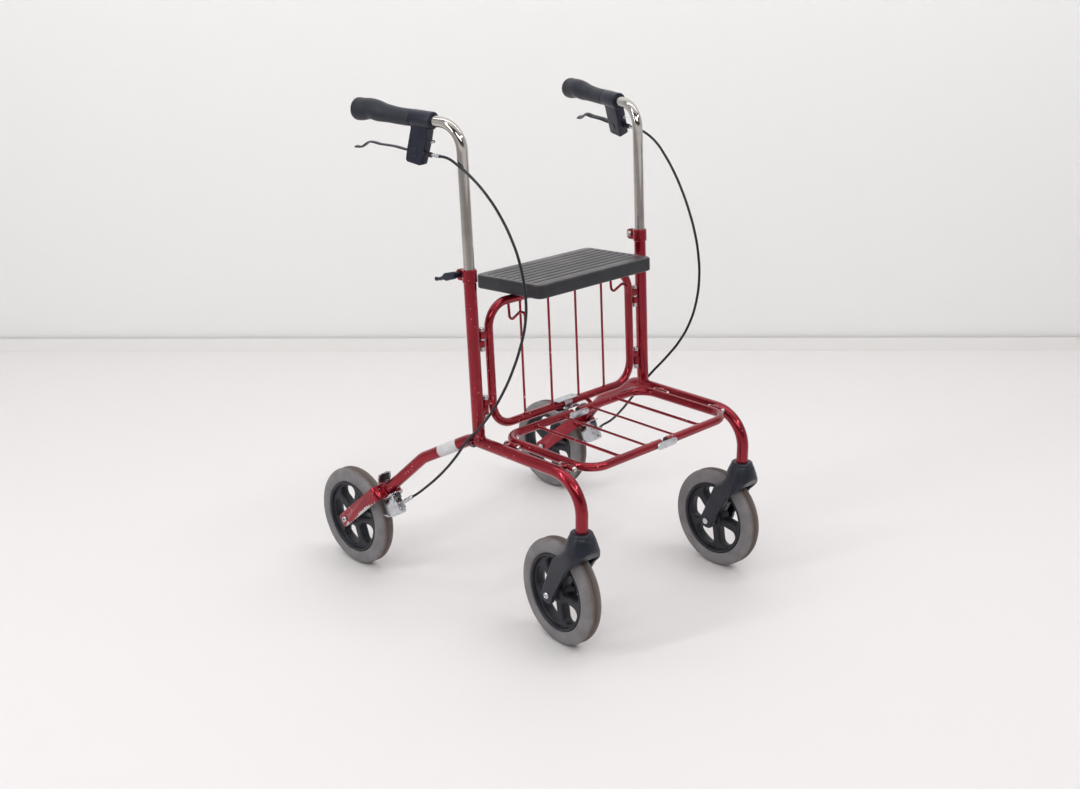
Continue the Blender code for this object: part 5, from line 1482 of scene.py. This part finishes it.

# %% [markdown]
# ## Brake cables
# Each cable leaves its adjuster, loops forward and runs down past the rail to the rear brake. It could
# be hung as a rope, but both ends are held and the sheath is stiff. A smooth curve through points
# measured along its way bends as evenly as the real one. Its top ends at the handle's adjuster and its
# foot at the side frame, but the sheath is fixed to neither body.

# %% Cable route
CABLE_WAY = {
    -1: (
        (-0.2419, -0.0258, 0.8410), (-0.2420, -0.0689, 0.8200), (-0.2415, -0.1060, 0.7930),
        (-0.2410, -0.1305, 0.7690), (-0.2405, -0.1590, 0.7310), (-0.2400, -0.1785, 0.6910),
        (-0.2405, -0.1926, 0.6325), (-0.2405, -0.1905, 0.5880), (-0.2410, -0.1770, 0.5400),
        (-0.2410, -0.1590, 0.4975), (-0.2415, -0.1380, 0.4570), (-0.2420, -0.1070, 0.4100),
        (-0.2425, -0.0716, 0.3675), (-0.2435, -0.0378, 0.3332), (-0.2482, -0.0088, 0.2924),
        (-0.2550, 0.0278, 0.2491), (-0.2619, 0.0650, 0.2130)),
    1: (
        (0.2585, -0.0200, 0.8395), (0.2560, -0.0490, 0.8251), (0.2535, -0.0762, 0.8013),
        (0.2510, -0.1011, 0.7736), (0.2490, -0.1236, 0.7418), (0.2470, -0.1442, 0.7059),
        (0.2450, -0.1622, 0.6658), (0.2435, -0.1742, 0.6245), (0.2425, -0.1795, 0.5777),
        (0.2415, -0.1750, 0.5286), (0.2410, -0.1615, 0.4849), (0.2412, -0.1379, 0.4423),
        (0.2418, -0.1051, 0.4009), (0.2430, -0.0600, 0.3510), (0.2484, -0.0079, 0.2869),
        (0.2550, 0.0270, 0.2470), (0.2615, 0.0620, 0.2130)),
}
FERRULE_START = (0.2680, 0.0979, 0.1858)
FERRULE_END = (0.2770, 0.1118, 0.1741)
WIRE_END = (0.2788, 0.1170, 0.1695)


def ferrule_ends(side):
    """Both ends of the ferrule, from the sheath to the brake."""
    return sided(side, FERRULE_START), sided(side, FERRULE_END)


def cable_knots(side):
    """The cable's way from the adjuster, forward and down past the rail, to the rear brake."""
    first, last = ferrule_ends(side)
    inward = (last - first).normalized()
    start = [cable_point(side, back_to) for back_to in (0.0428, 0.0300)]
    end = [first - inward * short for short in (0.012, 0.0003)]
    return start + [Vector(point) for point in CABLE_WAY[side]] + end


print({hand: len(cable_knots(side)) for side, hand in SIDES}, "knots")

# %% Cable sheaths and their ends
CABLE_R = 0.0025
CABLE_STEPS = 14


def even_curve(knots):
    """A smooth curve with automatic handles, as evenly bent as a real sheath."""
    curve = bpy.data.curves.new("sheath_line", "CURVE")
    curve.dimensions = "3D"
    curve.resolution_u = CABLE_STEPS
    spline = curve.splines.new("BEZIER")
    spline.bezier_points.add(len(knots) - 1)
    for knot, point in zip(spline.bezier_points, knots):
        knot.co = point
        knot.handle_left_type = "AUTO"
        knot.handle_right_type = "AUTO"
    mesh = curve_mesh("sheath_line", curve)
    points = [vertex.co.copy() for vertex in mesh.vertices]
    bpy.data.meshes.remove(mesh)
    return points


def cable_end(name, side):
    """Crimped ferrule at the sheath's end, and the bare inner wire."""
    first, last = ferrule_ends(side)
    length = (last - first).length
    ferrule = turned(name, [
        (0.0, -0.0020), (0.0027, -0.0020), (0.0036, -0.0004), (0.0040, 0.0004), (0.0040, length * 0.30),
        (0.0034, length * 0.34), (0.0034, length * 0.44), (0.0040, length * 0.48),
        (0.0040, length - 0.0016), (0.0032, length - 0.0002), (0.0018, length), (0.0, length)],
        aimed(first, last - first), 40)
    wire = rod("wire", last - (last - first) * 0.2, sided(side, WIRE_END), 0.0011, 16)
    return gathered(ferrule, wire)


print("ferrule length", round((Vector(FERRULE_END) - Vector(FERRULE_START)).length, 4))

# %% Put the hand brakes and cables on
for side, hand in SIDES:
    finished(brake_housing(f"{hand}_brake_body", side), housing_black, f"{hand}_handle", "black_plastic",
             f"{hand}_brake_housing")
    finished(housing_screw(f"{hand}_brake_screw", side), zinc, f"{hand}_handle", "zinc_steel")
    finished(adjuster(f"{hand}_adjuster_barrel", side), zinc, f"{hand}_handle", "zinc_steel",
             f"{hand}_cable_adjuster")
    finished(lock_nut(f"{hand}_lock_nut", side), cap_black, f"{hand}_handle", "black_plastic")
    finished(lever(f"{hand}_pressed_lever", side), housing_black, f"{hand}_lever", "black_plastic",
             f"{hand}_brake_lever")
    line = even_curve(cable_knots(side))
    sheath = finished(swept(f"{hand}_cable_sheath", line, CABLE_R, 20), sheath_black, None,
                      "cable_black", f"{hand}_brake_cable", sharp=60)
    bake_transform(sheath)
    finished(cable_end(f"{hand}_ferrule", side), zinc, f"{hand}_side", "zinc_steel", f"{hand}_cable_end")
    print(hand, "cable length", round(sum((b - a).length for a, b in zip(line, line[1:])), 3))

# %% [markdown]
# ## Rear brakes
# A zinc strip wraps the fork's crown. Its upper end is a finger tab, and two ears below it carry a
# folded arm with the shoe blade, a torsion spring and an adjusting screw. Bent sheet could be a plane
# with a thickness modifier, but its bends would be sharp. Here each strip is the outline of its bent
# edge, drawn from a centre line with rounded corners, and given a width.

# %% Bent strips
def ribbon(points, thickness):
    """The outline of a bent strip, from its centre line."""
    left, right = [], []
    for index, point in enumerate(points):
        before = (point - points[index - 1]).normalized() if index else None
        after = (points[index + 1] - point).normalized() if index + 1 < len(points) else None
        first, second = before or after, after or before
        normal = Vector((-(first.y + second.y), first.x + second.x)).normalized()
        reach = thickness / 2 / normal.dot(Vector((-first.y, first.x)))
        left.append(point + normal * reach)
        right.append(point - normal * reach)
    return left + right[::-1]


def open_arc(corners):
    """A flat open path from (x, y, radius) corners."""
    path = route([((x, y, 0), radius) for x, y, radius in corners], math.radians(15))
    return [Vector((point.x, point.y)) for point in path]


print("a bend has", len(open_arc([(0, 0, 0), (1, 0, 0.2), (1, 1, 0)])), "points")

# %% Brake brackets
BRAKE_ACROSS = -0.0240
BRAKE_ALONG = 0.1430
SHELF = -STRAP_HALF_WIDTH - 0.0013


def brake_axis(side):
    """The pin that the arm and the spring turn on."""
    return strap_frame(side) @ Vector((0, BRAKE_ACROSS, BRAKE_ALONG))


def brake_bracket(name, side):
    """Strip, rimmed tab, two ears and the pin through them."""
    place = strap_frame(side)
    inside = CROWN_FACE - STRAP - 0.0013
    centre_line = open_arc([
        (SHELF, 0.1580, 0), (SHELF, inside, 0.0022), (0.0160, inside, 0.0060), (0.0235, 0.1400, 0.0080),
        (0.0300, 0.1480, 0)])
    strip = flat_form(name, [ribbon(centre_line, 0.0020)], 0.0300, plane(place, "Y", "Z"))
    softened(strip, 0.0005, 2, 50)
    rim_half = ((0.0135, 0.0178, 0.1352), (0.0150, 0.0232, 0.1405), (0.0128, 0.0280, 0.1462),
                (0.0060, 0.0306, 0.1492))
    rim_line = [(-x, y, z) for x, y, z in rim_half] + list(rim_half[::-1])
    tab = swept("tab_rim", smooth_line([place @ Vector(point) for point in rim_line], 6), 0.0013, 12)
    ears = []
    ear_view = outline([
        (SHELF, 0.1530, 0), (SHELF, 0.1330, 0), (-0.0302, 0.1365, 0.0058), (-0.0302, 0.1495, 0.0058)])
    for x in (-0.0093, 0.0093):
        ear_place = plane(place @ Matrix.Translation((x, 0, 0)), "Y", "Z")
        ears.append(softened(flat_form("ear", [ear_view], 0.0016, ear_place), 0.0003, 2, 50))
    axis = brake_axis(side)
    half = Vector((0.0112, 0, 0))
    pin = softened(rod("pin", axis - half, axis + half, 0.0022, 24), 0.0004)
    return gathered(strip, tab, *ears, pin)


def painted_tab_shade(name, side):
    """Dark sheet inside the finger tab's rim: painted shade and dark reflection of the tab's face."""
    place = strap_frame(side)
    line = open_arc([(0.0185, 0.1373, 0), (0.0235, 0.1414, 0.0060), (0.0292, 0.1482, 0)])
    shade_sheet = flat_form(name, [ribbon(line, 0.0016)], 0.0235, plane(place, "Y", "Z"))
    return softened(shade_sheet, 0.0005, 2, 50)


print("brake brackets ready")

# %% Brake arms
def brake_arm(name, side):
    """A sheet folded to a channel, with the shoe blade, the adjusting screw and a nut across it."""
    place = plane(Matrix.Translation((side * REAR_WHEEL_X, 0, 0)), "Y", "Z")
    arm_view = outline([
        (0.1265, 0.1755, 0.004), (0.1349, 0.1826, 0.005), (0.1440, 0.1748, 0.003), (0.1500, 0.1690, 0.003),
        (0.1640, 0.1600, 0.003), (0.1530, 0.1400, 0.003), (0.1500, 0.1325, 0.002),
        (0.1320, 0.1390, 0.004), (0.1150, 0.1500, 0.004), (0.1140, 0.1620, 0.003),
        (0.1215, 0.1690, 0.003)])
    pocket_view = outline([
        (0.1235, 0.1950, 0), (0.1235, 0.1680, 0.002), (0.1158, 0.1607, 0.001), (0.1168, 0.1512, 0.002),
        (0.1330, 0.1408, 0.002), (0.1515, 0.1352, 0), (0.1700, 0.1350, 0), (0.1750, 0.1950, 0)])
    arm = flat_form(name, [arm_view], 0.0164, place)
    pocket = flat_form("pocket", [pocket_view], 0.0134, place)
    axis = brake_axis(side)
    reach = Vector((0.02, 0, 0))
    cut(arm, pocket, rod("hole", axis - reach, axis + reach, 0.0024, 24))
    softened(arm, 0.0004, 2, 50)
    x = side * REAR_WHEEL_X
    blade = softened(block("blade", (x - 0.011, 0.1470, 0.1333), (x + 0.011, 0.1622, 0.1358)), 0.0005)
    screw = rod("screw", (x, 0.1165, 0.1562), (x, 0.1090, 0.1575), 0.0022, 20)
    head = softened(rod("head", (x, 0.1112, 0.1572), (x, 0.1080, 0.1577), 0.0042, 6), 0.0005)
    clamp_nut = rod("clamp_nut", (x - 0.0092, 0.1255, 0.1610), (x + 0.0092, 0.1255, 0.1610), 0.0030, 6)
    return gathered(arm, blade, screw, head, softened(clamp_nut, 0.0004))


print("brake pins at", [tuple(round(value, 3) for value in brake_axis(side)) for side, hand in SIDES])

# %% Brake springs
def spring(name, side):
    """Four turns of wire round the pin, with a leg at each end."""
    coil_r, wire_r, turns, pitch, per_turn = 0.0040, 0.0006, 4, 0.0019, 36
    centre = brake_axis(side)
    points = []
    for index in range(turns * per_turn + 1):
        angle = math.radians(100) + math.tau * index / per_turn
        across = -turns * pitch / 2 + pitch * index / per_turn
        points.append(centre + Vector((across, coil_r * math.cos(angle), coil_r * math.sin(angle))))
    for end, neighbour, length in ((0, 1, 0.0035), (-1, -2, 0.0090)):
        leg = (points[end] - points[neighbour]).normalized() * length
        leg.x = 0
        points.insert(0 if end == 0 else len(points), points[end] + leg)
    return swept(name, points, wire_r, 10)


for side, hand in SIDES:
    finished(brake_bracket(f"{hand}_crown_bracket", side), zinc, f"{hand}_side", "zinc_steel",
             f"{hand}_brake_bracket")
    # The dark sheet on each tab paints the shade and dark reflection of its face.
    finished(painted_tab_shade(f"{hand}_painted_tab_shade", side), cap_black, f"{hand}_side", "black_plastic")
    finished(brake_arm(f"{hand}_shoe_arm", side), zinc, f"{hand}_brake_arm", "zinc_steel",
             f"{hand}_brake_arm")
    finished(spring(f"{hand}_shoe_spring", side), steel_pin, f"{hand}_side", "zinc_steel",
             f"{hand}_brake_spring", sharp=60)
print("rear brakes done")

# %% [markdown]
# ## Hinges, back loop and tray
# The middle folds: two half loops and two half trays meet at plates in the centre. Each half is one
# bent tube with thin wires welded in it, and small beads at the wire ends. Mirroring one half would be
# quick, but the halves aren't alike, since their barrels pass each other, so each is drawn with its own
# numbers.

# %% Hinge pins
def back_pin(name, side, head_top, head_low, nut_high, nut_low, washer=None):
    """Bolt and nut of the back loop's hinge. All heights are true heights."""
    profile = [(0.0, up(head_top)), (0.0028, up(head_top)), (0.0044, up(head_top - 0.0007)),
               (0.0054, up(head_top - 0.0024)), (0.0054, up(head_low)), (0.0028, up(head_low))]
    if washer:
        high, low = washer
        profile += [(0.0028, up(high)), (0.0056, up(high)), (0.0056, up(low)), (0.0028, up(low))]
    profile += [(0.0028, up(nut_high)), (0.0052, up(nut_high)), (0.0052, up(nut_low + 0.0012)),
                (0.0046, up(nut_low)), (0.0, up(nut_low))]
    return turned(name, profile, RAKE_FRAME @ Matrix.Translation((side * HINGE_X, 0, 0)), 36)


def tray_pin(name, side, head_front, nut_rear):
    """Bolt and nut of the tray's hinge, laid from front to rear."""
    place = Matrix.Translation((side * HINGE_X, 0, TRAY_Z)) @ Matrix.Rotation(math.pi / 2, 4, "X")
    head, nut = -head_front, -nut_rear
    return turned(name, [
        (0.0, head - 0.0012), (0.0018, head - 0.0012), (0.0020, head - 0.0002), (0.0032, head - 0.0003),
        (0.0044, head - 0.0012), (0.0050, head - 0.0024), (0.0050, head - 0.0037), (0.0028, head - 0.0037),
        (0.0028, nut + 0.0047), (0.0050, nut + 0.0047), (0.0050, nut + 0.0010), (0.0044, nut),
        (0.0, nut)], place, 36)


print("pins ready")

# %% Back loop halves
LOOP_R = 0.0080
LOOP_X = 0.1895
LOOP_BOTTOM = 0.3500
LOOP_TOP = 0.5830
LOOP_BEND = 0.0450
RAIL_END_X = 0.0080
MIDDLE_X = 0.0200
LOOP_WIRE_DEPTH = -0.0010


def end_bead(name, place, radius, seed):
    """Small bead round the end of a thin wire."""
    return ring_bead(name, place, radius, 0.0009, seed, 32)


def plug(name, side, start):
    """Plastic plug in a tube's open end, which looks to the middle."""
    return turned(name, [
        (0.0, 0.0016), (LOOP_R - 0.0022, 0.0015), (LOOP_R - 0.0010, 0.0008), (LOOP_R - 0.0008, -0.0002),
        (0.0, -0.0002)], aimed(start, Vector((-side, 0, 0))), 40)


def back_half(name, side):
    """Half of the loop, with two wires, a hook for the seat and, on the left, a stub."""
    half = swept(name, route([
        (raked(side * RAIL_END_X, 0, LOOP_BOTTOM), 0), (raked(side * LOOP_X, 0, LOOP_BOTTOM), LOOP_BEND),
        (raked(side * LOOP_X, 0, LOOP_TOP), LOOP_BEND), (raked(side * RAIL_END_X, 0, LOOP_TOP), 0)]),
        LOOP_R, 36)
    extras = back_knuckles(side, LOOP_X, ((0.3966, 0.4086), (0.5245, 0.5377)))
    for x in (0.0365, 0.1095):
        low, high = [raked(side * x, LOOP_WIRE_DEPTH, z) for z in (LOOP_BOTTOM, LOOP_TOP)]
        extras.append(rod("wire", low, high, 0.0023, 20))
        for z in (LOOP_BOTTOM + LOOP_R, LOOP_TOP - LOOP_R):
            bead_place = Matrix.Translation(raked(side * x, LOOP_WIRE_DEPTH, z))
            extras.append(end_bead("wire_bead", bead_place, 0.0026, x * 100))
    hook_x = side * 0.1380
    extras.append(swept("hook", route([
        (raked(hook_x, 0, LOOP_TOP - 0.003), 0), (raked(hook_x, -0.002, 0.5415), 0.0060),
        (raked(hook_x, -0.030, 0.5640), 0.0040), (raked(hook_x, -0.0430, 0.5640), 0.0050),
        (raked(hook_x, -0.0430, 0.5456), 0)], math.radians(12)), 0.0025, 20))
    if side > 0:
        stub_start = raked(0.0530, 0, LOOP_BOTTOM)
        stub = rod("stub", stub_start, stub_start + Vector((0, -0.0178, -0.0083)), 0.0040, 28)
        extras.append(softened(stub, 0.0006))
    return gathered(half, *extras)


print("loop height", round(LOOP_TOP - LOOP_BOTTOM, 4))

# %% Back loop brackets
def back_bracket(name, z):
    """Folded channel round the joint, with two rivets through it."""
    centre = up(z)
    inner = LOOP_R + 0.0005
    flange_view = outline([
        (-0.030, -0.0105, 0.004), (0.030, -0.0105, 0.004), (0.030, 0.0095, 0.009), (-0.030, 0.0095, 0.009)])
    flanges = []
    for label, offset in ((name, inner + 0.0010), ("flange", -inner - 0.0010)):
        place = RAKE_FRAME @ Matrix.Translation((0, 0, centre + offset))
        flanges.append(softened(flat_form(label, [flange_view], 0.0020, place), 0.0005, 2, 50))
    web = softened(block("web", (-0.010, -0.0104, centre - inner - 0.001),
                         (0.010, -0.0086, centre + inner + 0.001), RAKE_FRAME), 0.0006)
    rivets = []
    for x in (-MIDDLE_X, MIDDLE_X):
        for turn, height in ((0, centre + inner + 0.0019), (math.pi, centre - inner - 0.0019)):
            place = RAKE_FRAME @ Matrix.Translation((x, 0, height)) @ Matrix.Rotation(turn, 4, "X")
            rivets.append(turned("rivet", [
                (0.0, 0.0009), (0.0016, 0.0008), (0.0026, 0.0005), (0.0030, 0.0), (0.0030, -0.0006),
                (0.0, -0.0006)], place, 28))
    return gathered(*flanges, web, *rivets)


for side, hand in SIDES:
    finished(back_half(f"{hand}_half_loop", side), frame_red, f"back_{hand}", "frame_paint",
             f"back_half_{hand}")
    for label, z in (("lower", LOOP_BOTTOM), ("upper", LOOP_TOP)):
        start = raked(side * RAIL_END_X, 0, z)
        finished(plug(f"{hand}_{label}_tube_plug", side, start), cap_black, f"back_{hand}", "black_plastic")
    finished(back_pin(f"{hand}_upper_hinge_bolt", side, 0.5451, 0.5380, 0.5084, 0.5008, (0.5242, 0.5213)),
             steel_pin, f"{hand}_side", "zinc_steel", f"{hand}_back_pin_upper")
    finished(back_pin(f"{hand}_lower_hinge_bolt", side, 0.4172, 0.4089, 0.3807, 0.3716), steel_pin,
             f"{hand}_side", "zinc_steel", f"{hand}_back_pin_lower")
for label, z in (("lower", LOOP_BOTTOM), ("upper", LOOP_TOP)):
    finished(back_bracket(f"{label}_loop_clip", z), zinc, "back_brackets", "zinc_steel",
             f"back_bracket_{label}")
print("back loop done")

# %% Tray halves
TRAY_X = 0.1920
TRAY_FRONT = -0.3034
TRAY_REAR = -0.0804
TRAY_BEND = 0.0400


def tray_half(name, side):
    """Half of the tray's bent rail, with its barrels and two wires."""
    half = swept(name, route([
        ((side * RAIL_END_X, TRAY_FRONT, TRAY_Z), 0), ((side * TRAY_X, TRAY_FRONT, TRAY_Z), TRAY_BEND),
        ((side * TRAY_X, TRAY_REAR, TRAY_Z), TRAY_BEND), ((side * RAIL_END_X, TRAY_REAR, TRAY_Z), 0)]),
        LOOP_R, 36)
    extras = tray_barrels(side, TRAY_X, ((-0.277, -0.263), (-0.137, -0.123)))
    wire_z = TRAY_Z + 0.002
    for x, radius in ((0.1105, 0.0028), (0.0385, 0.0022)):
        extras.append(rod("wire", (side * x, TRAY_FRONT, wire_z), (side * x, TRAY_REAR, wire_z), radius, 20))
        for y in (TRAY_FRONT + 0.0078, TRAY_REAR - 0.0078):
            place = Matrix.Translation((side * x, y, wire_z)) @ Matrix.Rotation(math.pi / 2, 4, "X")
            extras.append(end_bead("wire_bead", place, radius + 0.0003, x * 100 + y))
    return gathered(half, *extras)


print("tray depth", round(TRAY_REAR - TRAY_FRONT, 4))

# %% Tray links
def tray_link(name, y):
    """Flat link in front of a rail, riveted to both halves."""
    front = y - LOOP_R - 0.0006
    link_view = box_outline(-0.0265, -0.0065, 0.0265, 0.0065, 0.0062)
    link_place = plane(Matrix.Translation((0, front - 0.0015, TRAY_Z)), "X", "Z")
    link = softened(flat_form(name, [link_view], 0.0030, link_place), 0.0006, 2, 50)
    parts = []
    for x in (-MIDDLE_X, MIDDLE_X):
        place = Matrix.Translation((x, 0, TRAY_Z)) @ Matrix.Rotation(math.pi / 2, 4, "X")
        parts.append(turned("rivet", [
            (0.0, 0.0040 - front), (0.0018, 0.0041 - front), (0.0028, 0.0037 - front),
            (0.0033, 0.0030 - front), (0.0028, 0.0024 - front), (0.0028, -y - LOOP_R - 0.0006),
            (0.0046, -y - LOOP_R - 0.0006),
            (0.0044, -y - LOOP_R - 0.0020), (0.0026, -y - LOOP_R - 0.0024), (0.0, -y - LOOP_R - 0.0024)],
            place, 28))
    return gathered(link, *parts)


for side, hand in SIDES:
    finished(tray_half(f"{hand}_half_tray", side), frame_red, f"tray_{hand}", "frame_paint",
             f"tray_half_{hand}")
    for label, y in (("front", TRAY_FRONT), ("rear", TRAY_REAR)):
        start = Vector((side * RAIL_END_X, y, TRAY_Z))
        finished(plug(f"{hand}_{label}_rail_plug", side, start), cap_black, f"tray_{hand}", "black_plastic")
    for label, head, nut in (("front", -0.2810, -0.2430), ("rear", -0.1410, -0.1030)):
        finished(tray_pin(f"{hand}_{label}_tray_bolt", side, head, nut), steel_pin, f"{hand}_side",
                 "zinc_steel", f"{hand}_tray_pin_{label}")
for label, y in (("front", TRAY_FRONT), ("rear", TRAY_REAR)):
    finished(tray_link(f"{label}_tray_plate", y), zinc, "tray_links", "zinc_steel", f"tray_link_{label}")
print("tray done")

# %% [markdown]
# ## Seat
# The seat is a moulded board with a rounded rim, fine flutes along its length and ribs below. The
# flutes could be a bump in the finish, but they show at the board's ends and in its mesh, so they and
# the pockets between the ribs are cut. It clips on the back loop's top rail, so it can tip.

# %% Seat board
SEAT_RIGHT = -0.1455
SEAT_LEFT = 0.1600
SEAT_FRONT = -0.0924
SEAT_REAR = 0.0809
SEAT_TOP = 0.6213
SEAT_THICK = 0.0260
SEAT_CORNER = 0.014
SEAT_BORDER = 0.010
SEAT_WALL = 0.006
SEAT_FLUTES = 9
SEAT_COLUMNS = 5


def seat_board(name):
    """The board with its flutes, its pockets and a notch over the loop's bracket."""
    width = SEAT_LEFT - SEAT_RIGHT
    depth = SEAT_REAR - SEAT_FRONT
    middle = ((SEAT_LEFT + SEAT_RIGHT) / 2, (SEAT_FRONT + SEAT_REAR) / 2, up(SEAT_TOP) - SEAT_THICK / 2)
    place = RAKE_FRAME @ Matrix.Translation(middle)
    board_view = box_outline(-width / 2, -depth / 2, width / 2, depth / 2, SEAT_CORNER, math.radians(8))
    board = flat_form(name, [board_view], SEAT_THICK, place, 0.0036, 5)
    pitch = (depth - 2 * SEAT_BORDER) / SEAT_FLUTES
    top = SEAT_THICK / 2
    flutes = []
    for index in range(1, SEAT_FLUTES):
        line = -depth / 2 + SEAT_BORDER + index * pitch
        flutes.append(block("flute", (-width / 2 + SEAT_BORDER, line - 0.0016, top - 0.0015),
                            (width / 2 - SEAT_BORDER, line + 0.0016, top + 0.0050), place))
    softened(cut(board, *flutes), 0.0005, 2, 55)
    cell = (width - 2 * SEAT_WALL) / SEAT_COLUMNS
    pockets = []
    for low, high in ((-depth / 2 + SEAT_WALL, -0.012), (0.024, depth / 2 - SEAT_WALL)):
        for index in range(SEAT_COLUMNS):
            left = -width / 2 + SEAT_WALL + index * cell
            pockets.append(block("pocket", (left + 0.002, low, -top - 0.0050),
                                 (left + cell - 0.002, high, top - 0.0060), place))
    rail = RAKE_FRAME @ Matrix.Translation((0, 0, up(LOOP_TOP)))
    pockets.append(block("bracket_notch", (-0.0340, -0.0130, 0), (0.0340, 0.0130, 0.0165), rail))
    return cut(board, *pockets)


print("seat width", round(SEAT_LEFT - SEAT_RIGHT, 4))

# %% Seat clip
def seat_clip(name):
    """Two snap rings round the rail, joined by a bar."""
    place = RAKE_FRAME @ Matrix.Translation((0, 0, up(LOOP_TOP)))
    seat_under = up(SEAT_TOP) - SEAT_THICK - up(LOOP_TOP) - 0.0003
    ring_r = 0.0125
    bore_r = LOOP_R + 0.0004
    ring_view = outline([
        (-ring_r, seat_under, 0), (-ring_r, -ring_r, 0.011), (ring_r, -ring_r, 0.011),
        (ring_r, seat_under, 0)])
    clip = block(name, (0.0520, -0.0060, bore_r + 0.0012), (0.1315, 0.0060, seat_under - 0.0006), place)
    rings = []
    for x in (0.0600, 0.1235):
        ring_place = plane(place @ Matrix.Translation((x, 0, 0)), "Y", "Z")
        rings.append(flat_form("ring", [ring_view], 0.0200, ring_place))
    welded(clip, *rings)
    cut(clip, rod("bore", place @ Vector((0.045, 0, 0)), place @ Vector((0.140, 0, 0)), bore_r, 64),
        block("mouth", (0.045, -0.0055, -0.0200), (0.140, 0.0055, -0.0020), place))
    return softened(clip, 0.0005, 2, 50)


finished(seat_board("seat_moulding"), seat_black, "seat", "seat_plastic", "seat")
finished(seat_clip("rail_clip"), housing_black, "seat", "black_plastic", "seat_clip")
print("seat done")

# %% [markdown]
# ## Small pieces
# A plain tie holds the near cable to the frame, and a blank sheet wraps the near rear leg. Paper could be
# a picture laid on the tube's finish, but a thin sheet of its own catches the light along its edge.

# %% Cable tie
TIE_PLACE = (0.2300, -0.0440, 0.3325)
TIE_STEPS = 48


def cable_tie(name, side):
    """A strap round the leg's tube that also holds the cable."""
    place = sided(side, TIE_PLACE)
    reach = CHASSIS_R + 0.0011
    points = []
    for step in range(TIE_STEPS + 1):
        angle = math.tau * step / TIE_STEPS
        outward = max(0.0, math.cos(angle)) ** 4 * 0.0042
        aside = side * (reach + outward) * math.cos(angle)
        points.append(place + Vector((aside, 0, reach * math.sin(angle))))
    return swept(name, points, 0.0010, 14, None, 2.6, AXES["X"])


print("tie at", tuple(sided(-1, TIE_PLACE)))

# %% Blank label
LABEL_START = 0.034
LABEL_LENGTH = 0.047
LABEL_ROWS = 24
LABEL_COLUMNS = 30


def leg_label(name, side):
    """A blank sheet bent round the tube between its two bends."""
    start = sided(side, LEG_TOP)
    heading = (sided(side, LEG_KNEE) - start).normalized()
    form = bmesh.new()
    rows = []
    for row in range(LABEL_ROWS + 1):
        distance = LABEL_START + LABEL_LENGTH * row / LABEL_ROWS
        line = []
        for column in range(LABEL_COLUMNS + 1):
            angle = math.radians(-95 + 190 * column / LABEL_COLUMNS)
            direction = Vector((side, 0, 0)) * math.cos(angle) + AXES["Z"] * math.sin(angle)
            direction = (direction - heading * direction.dot(heading)).normalized()
            line.append(form.verts.new(start + heading * distance + direction * (CHASSIS_R + 0.00035)))
        rows.append(line)
    for first, second in zip(rows, rows[1:]):
        for column in range(LABEL_COLUMNS):
            form.faces.new((first[column], first[column + 1], second[column + 1], second[column]))
    piece = form_piece(name, form)
    shell = piece.modifiers.new("paper", "SOLIDIFY")
    shell.thickness = 0.0002
    shell.offset = 0
    return apply_modifiers(piece)


finished(cable_tie("right_cable_tie", -1), cap_black, "right_side", "black_plastic", sharp=60)
finished(leg_label("right_leg_label", -1), label_white, "right_side", "seat_plastic")
print("small pieces done")

# %% [markdown]
# ## The size
# The dressed part has to keep the frame's size, so both boxes are printed side by side.

# %% Print the sizes
dressed_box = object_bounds()
print("sizes", [tuple(round(value, 4) for value in corner) for corner in (*CAD_BOX, *dressed_box)])
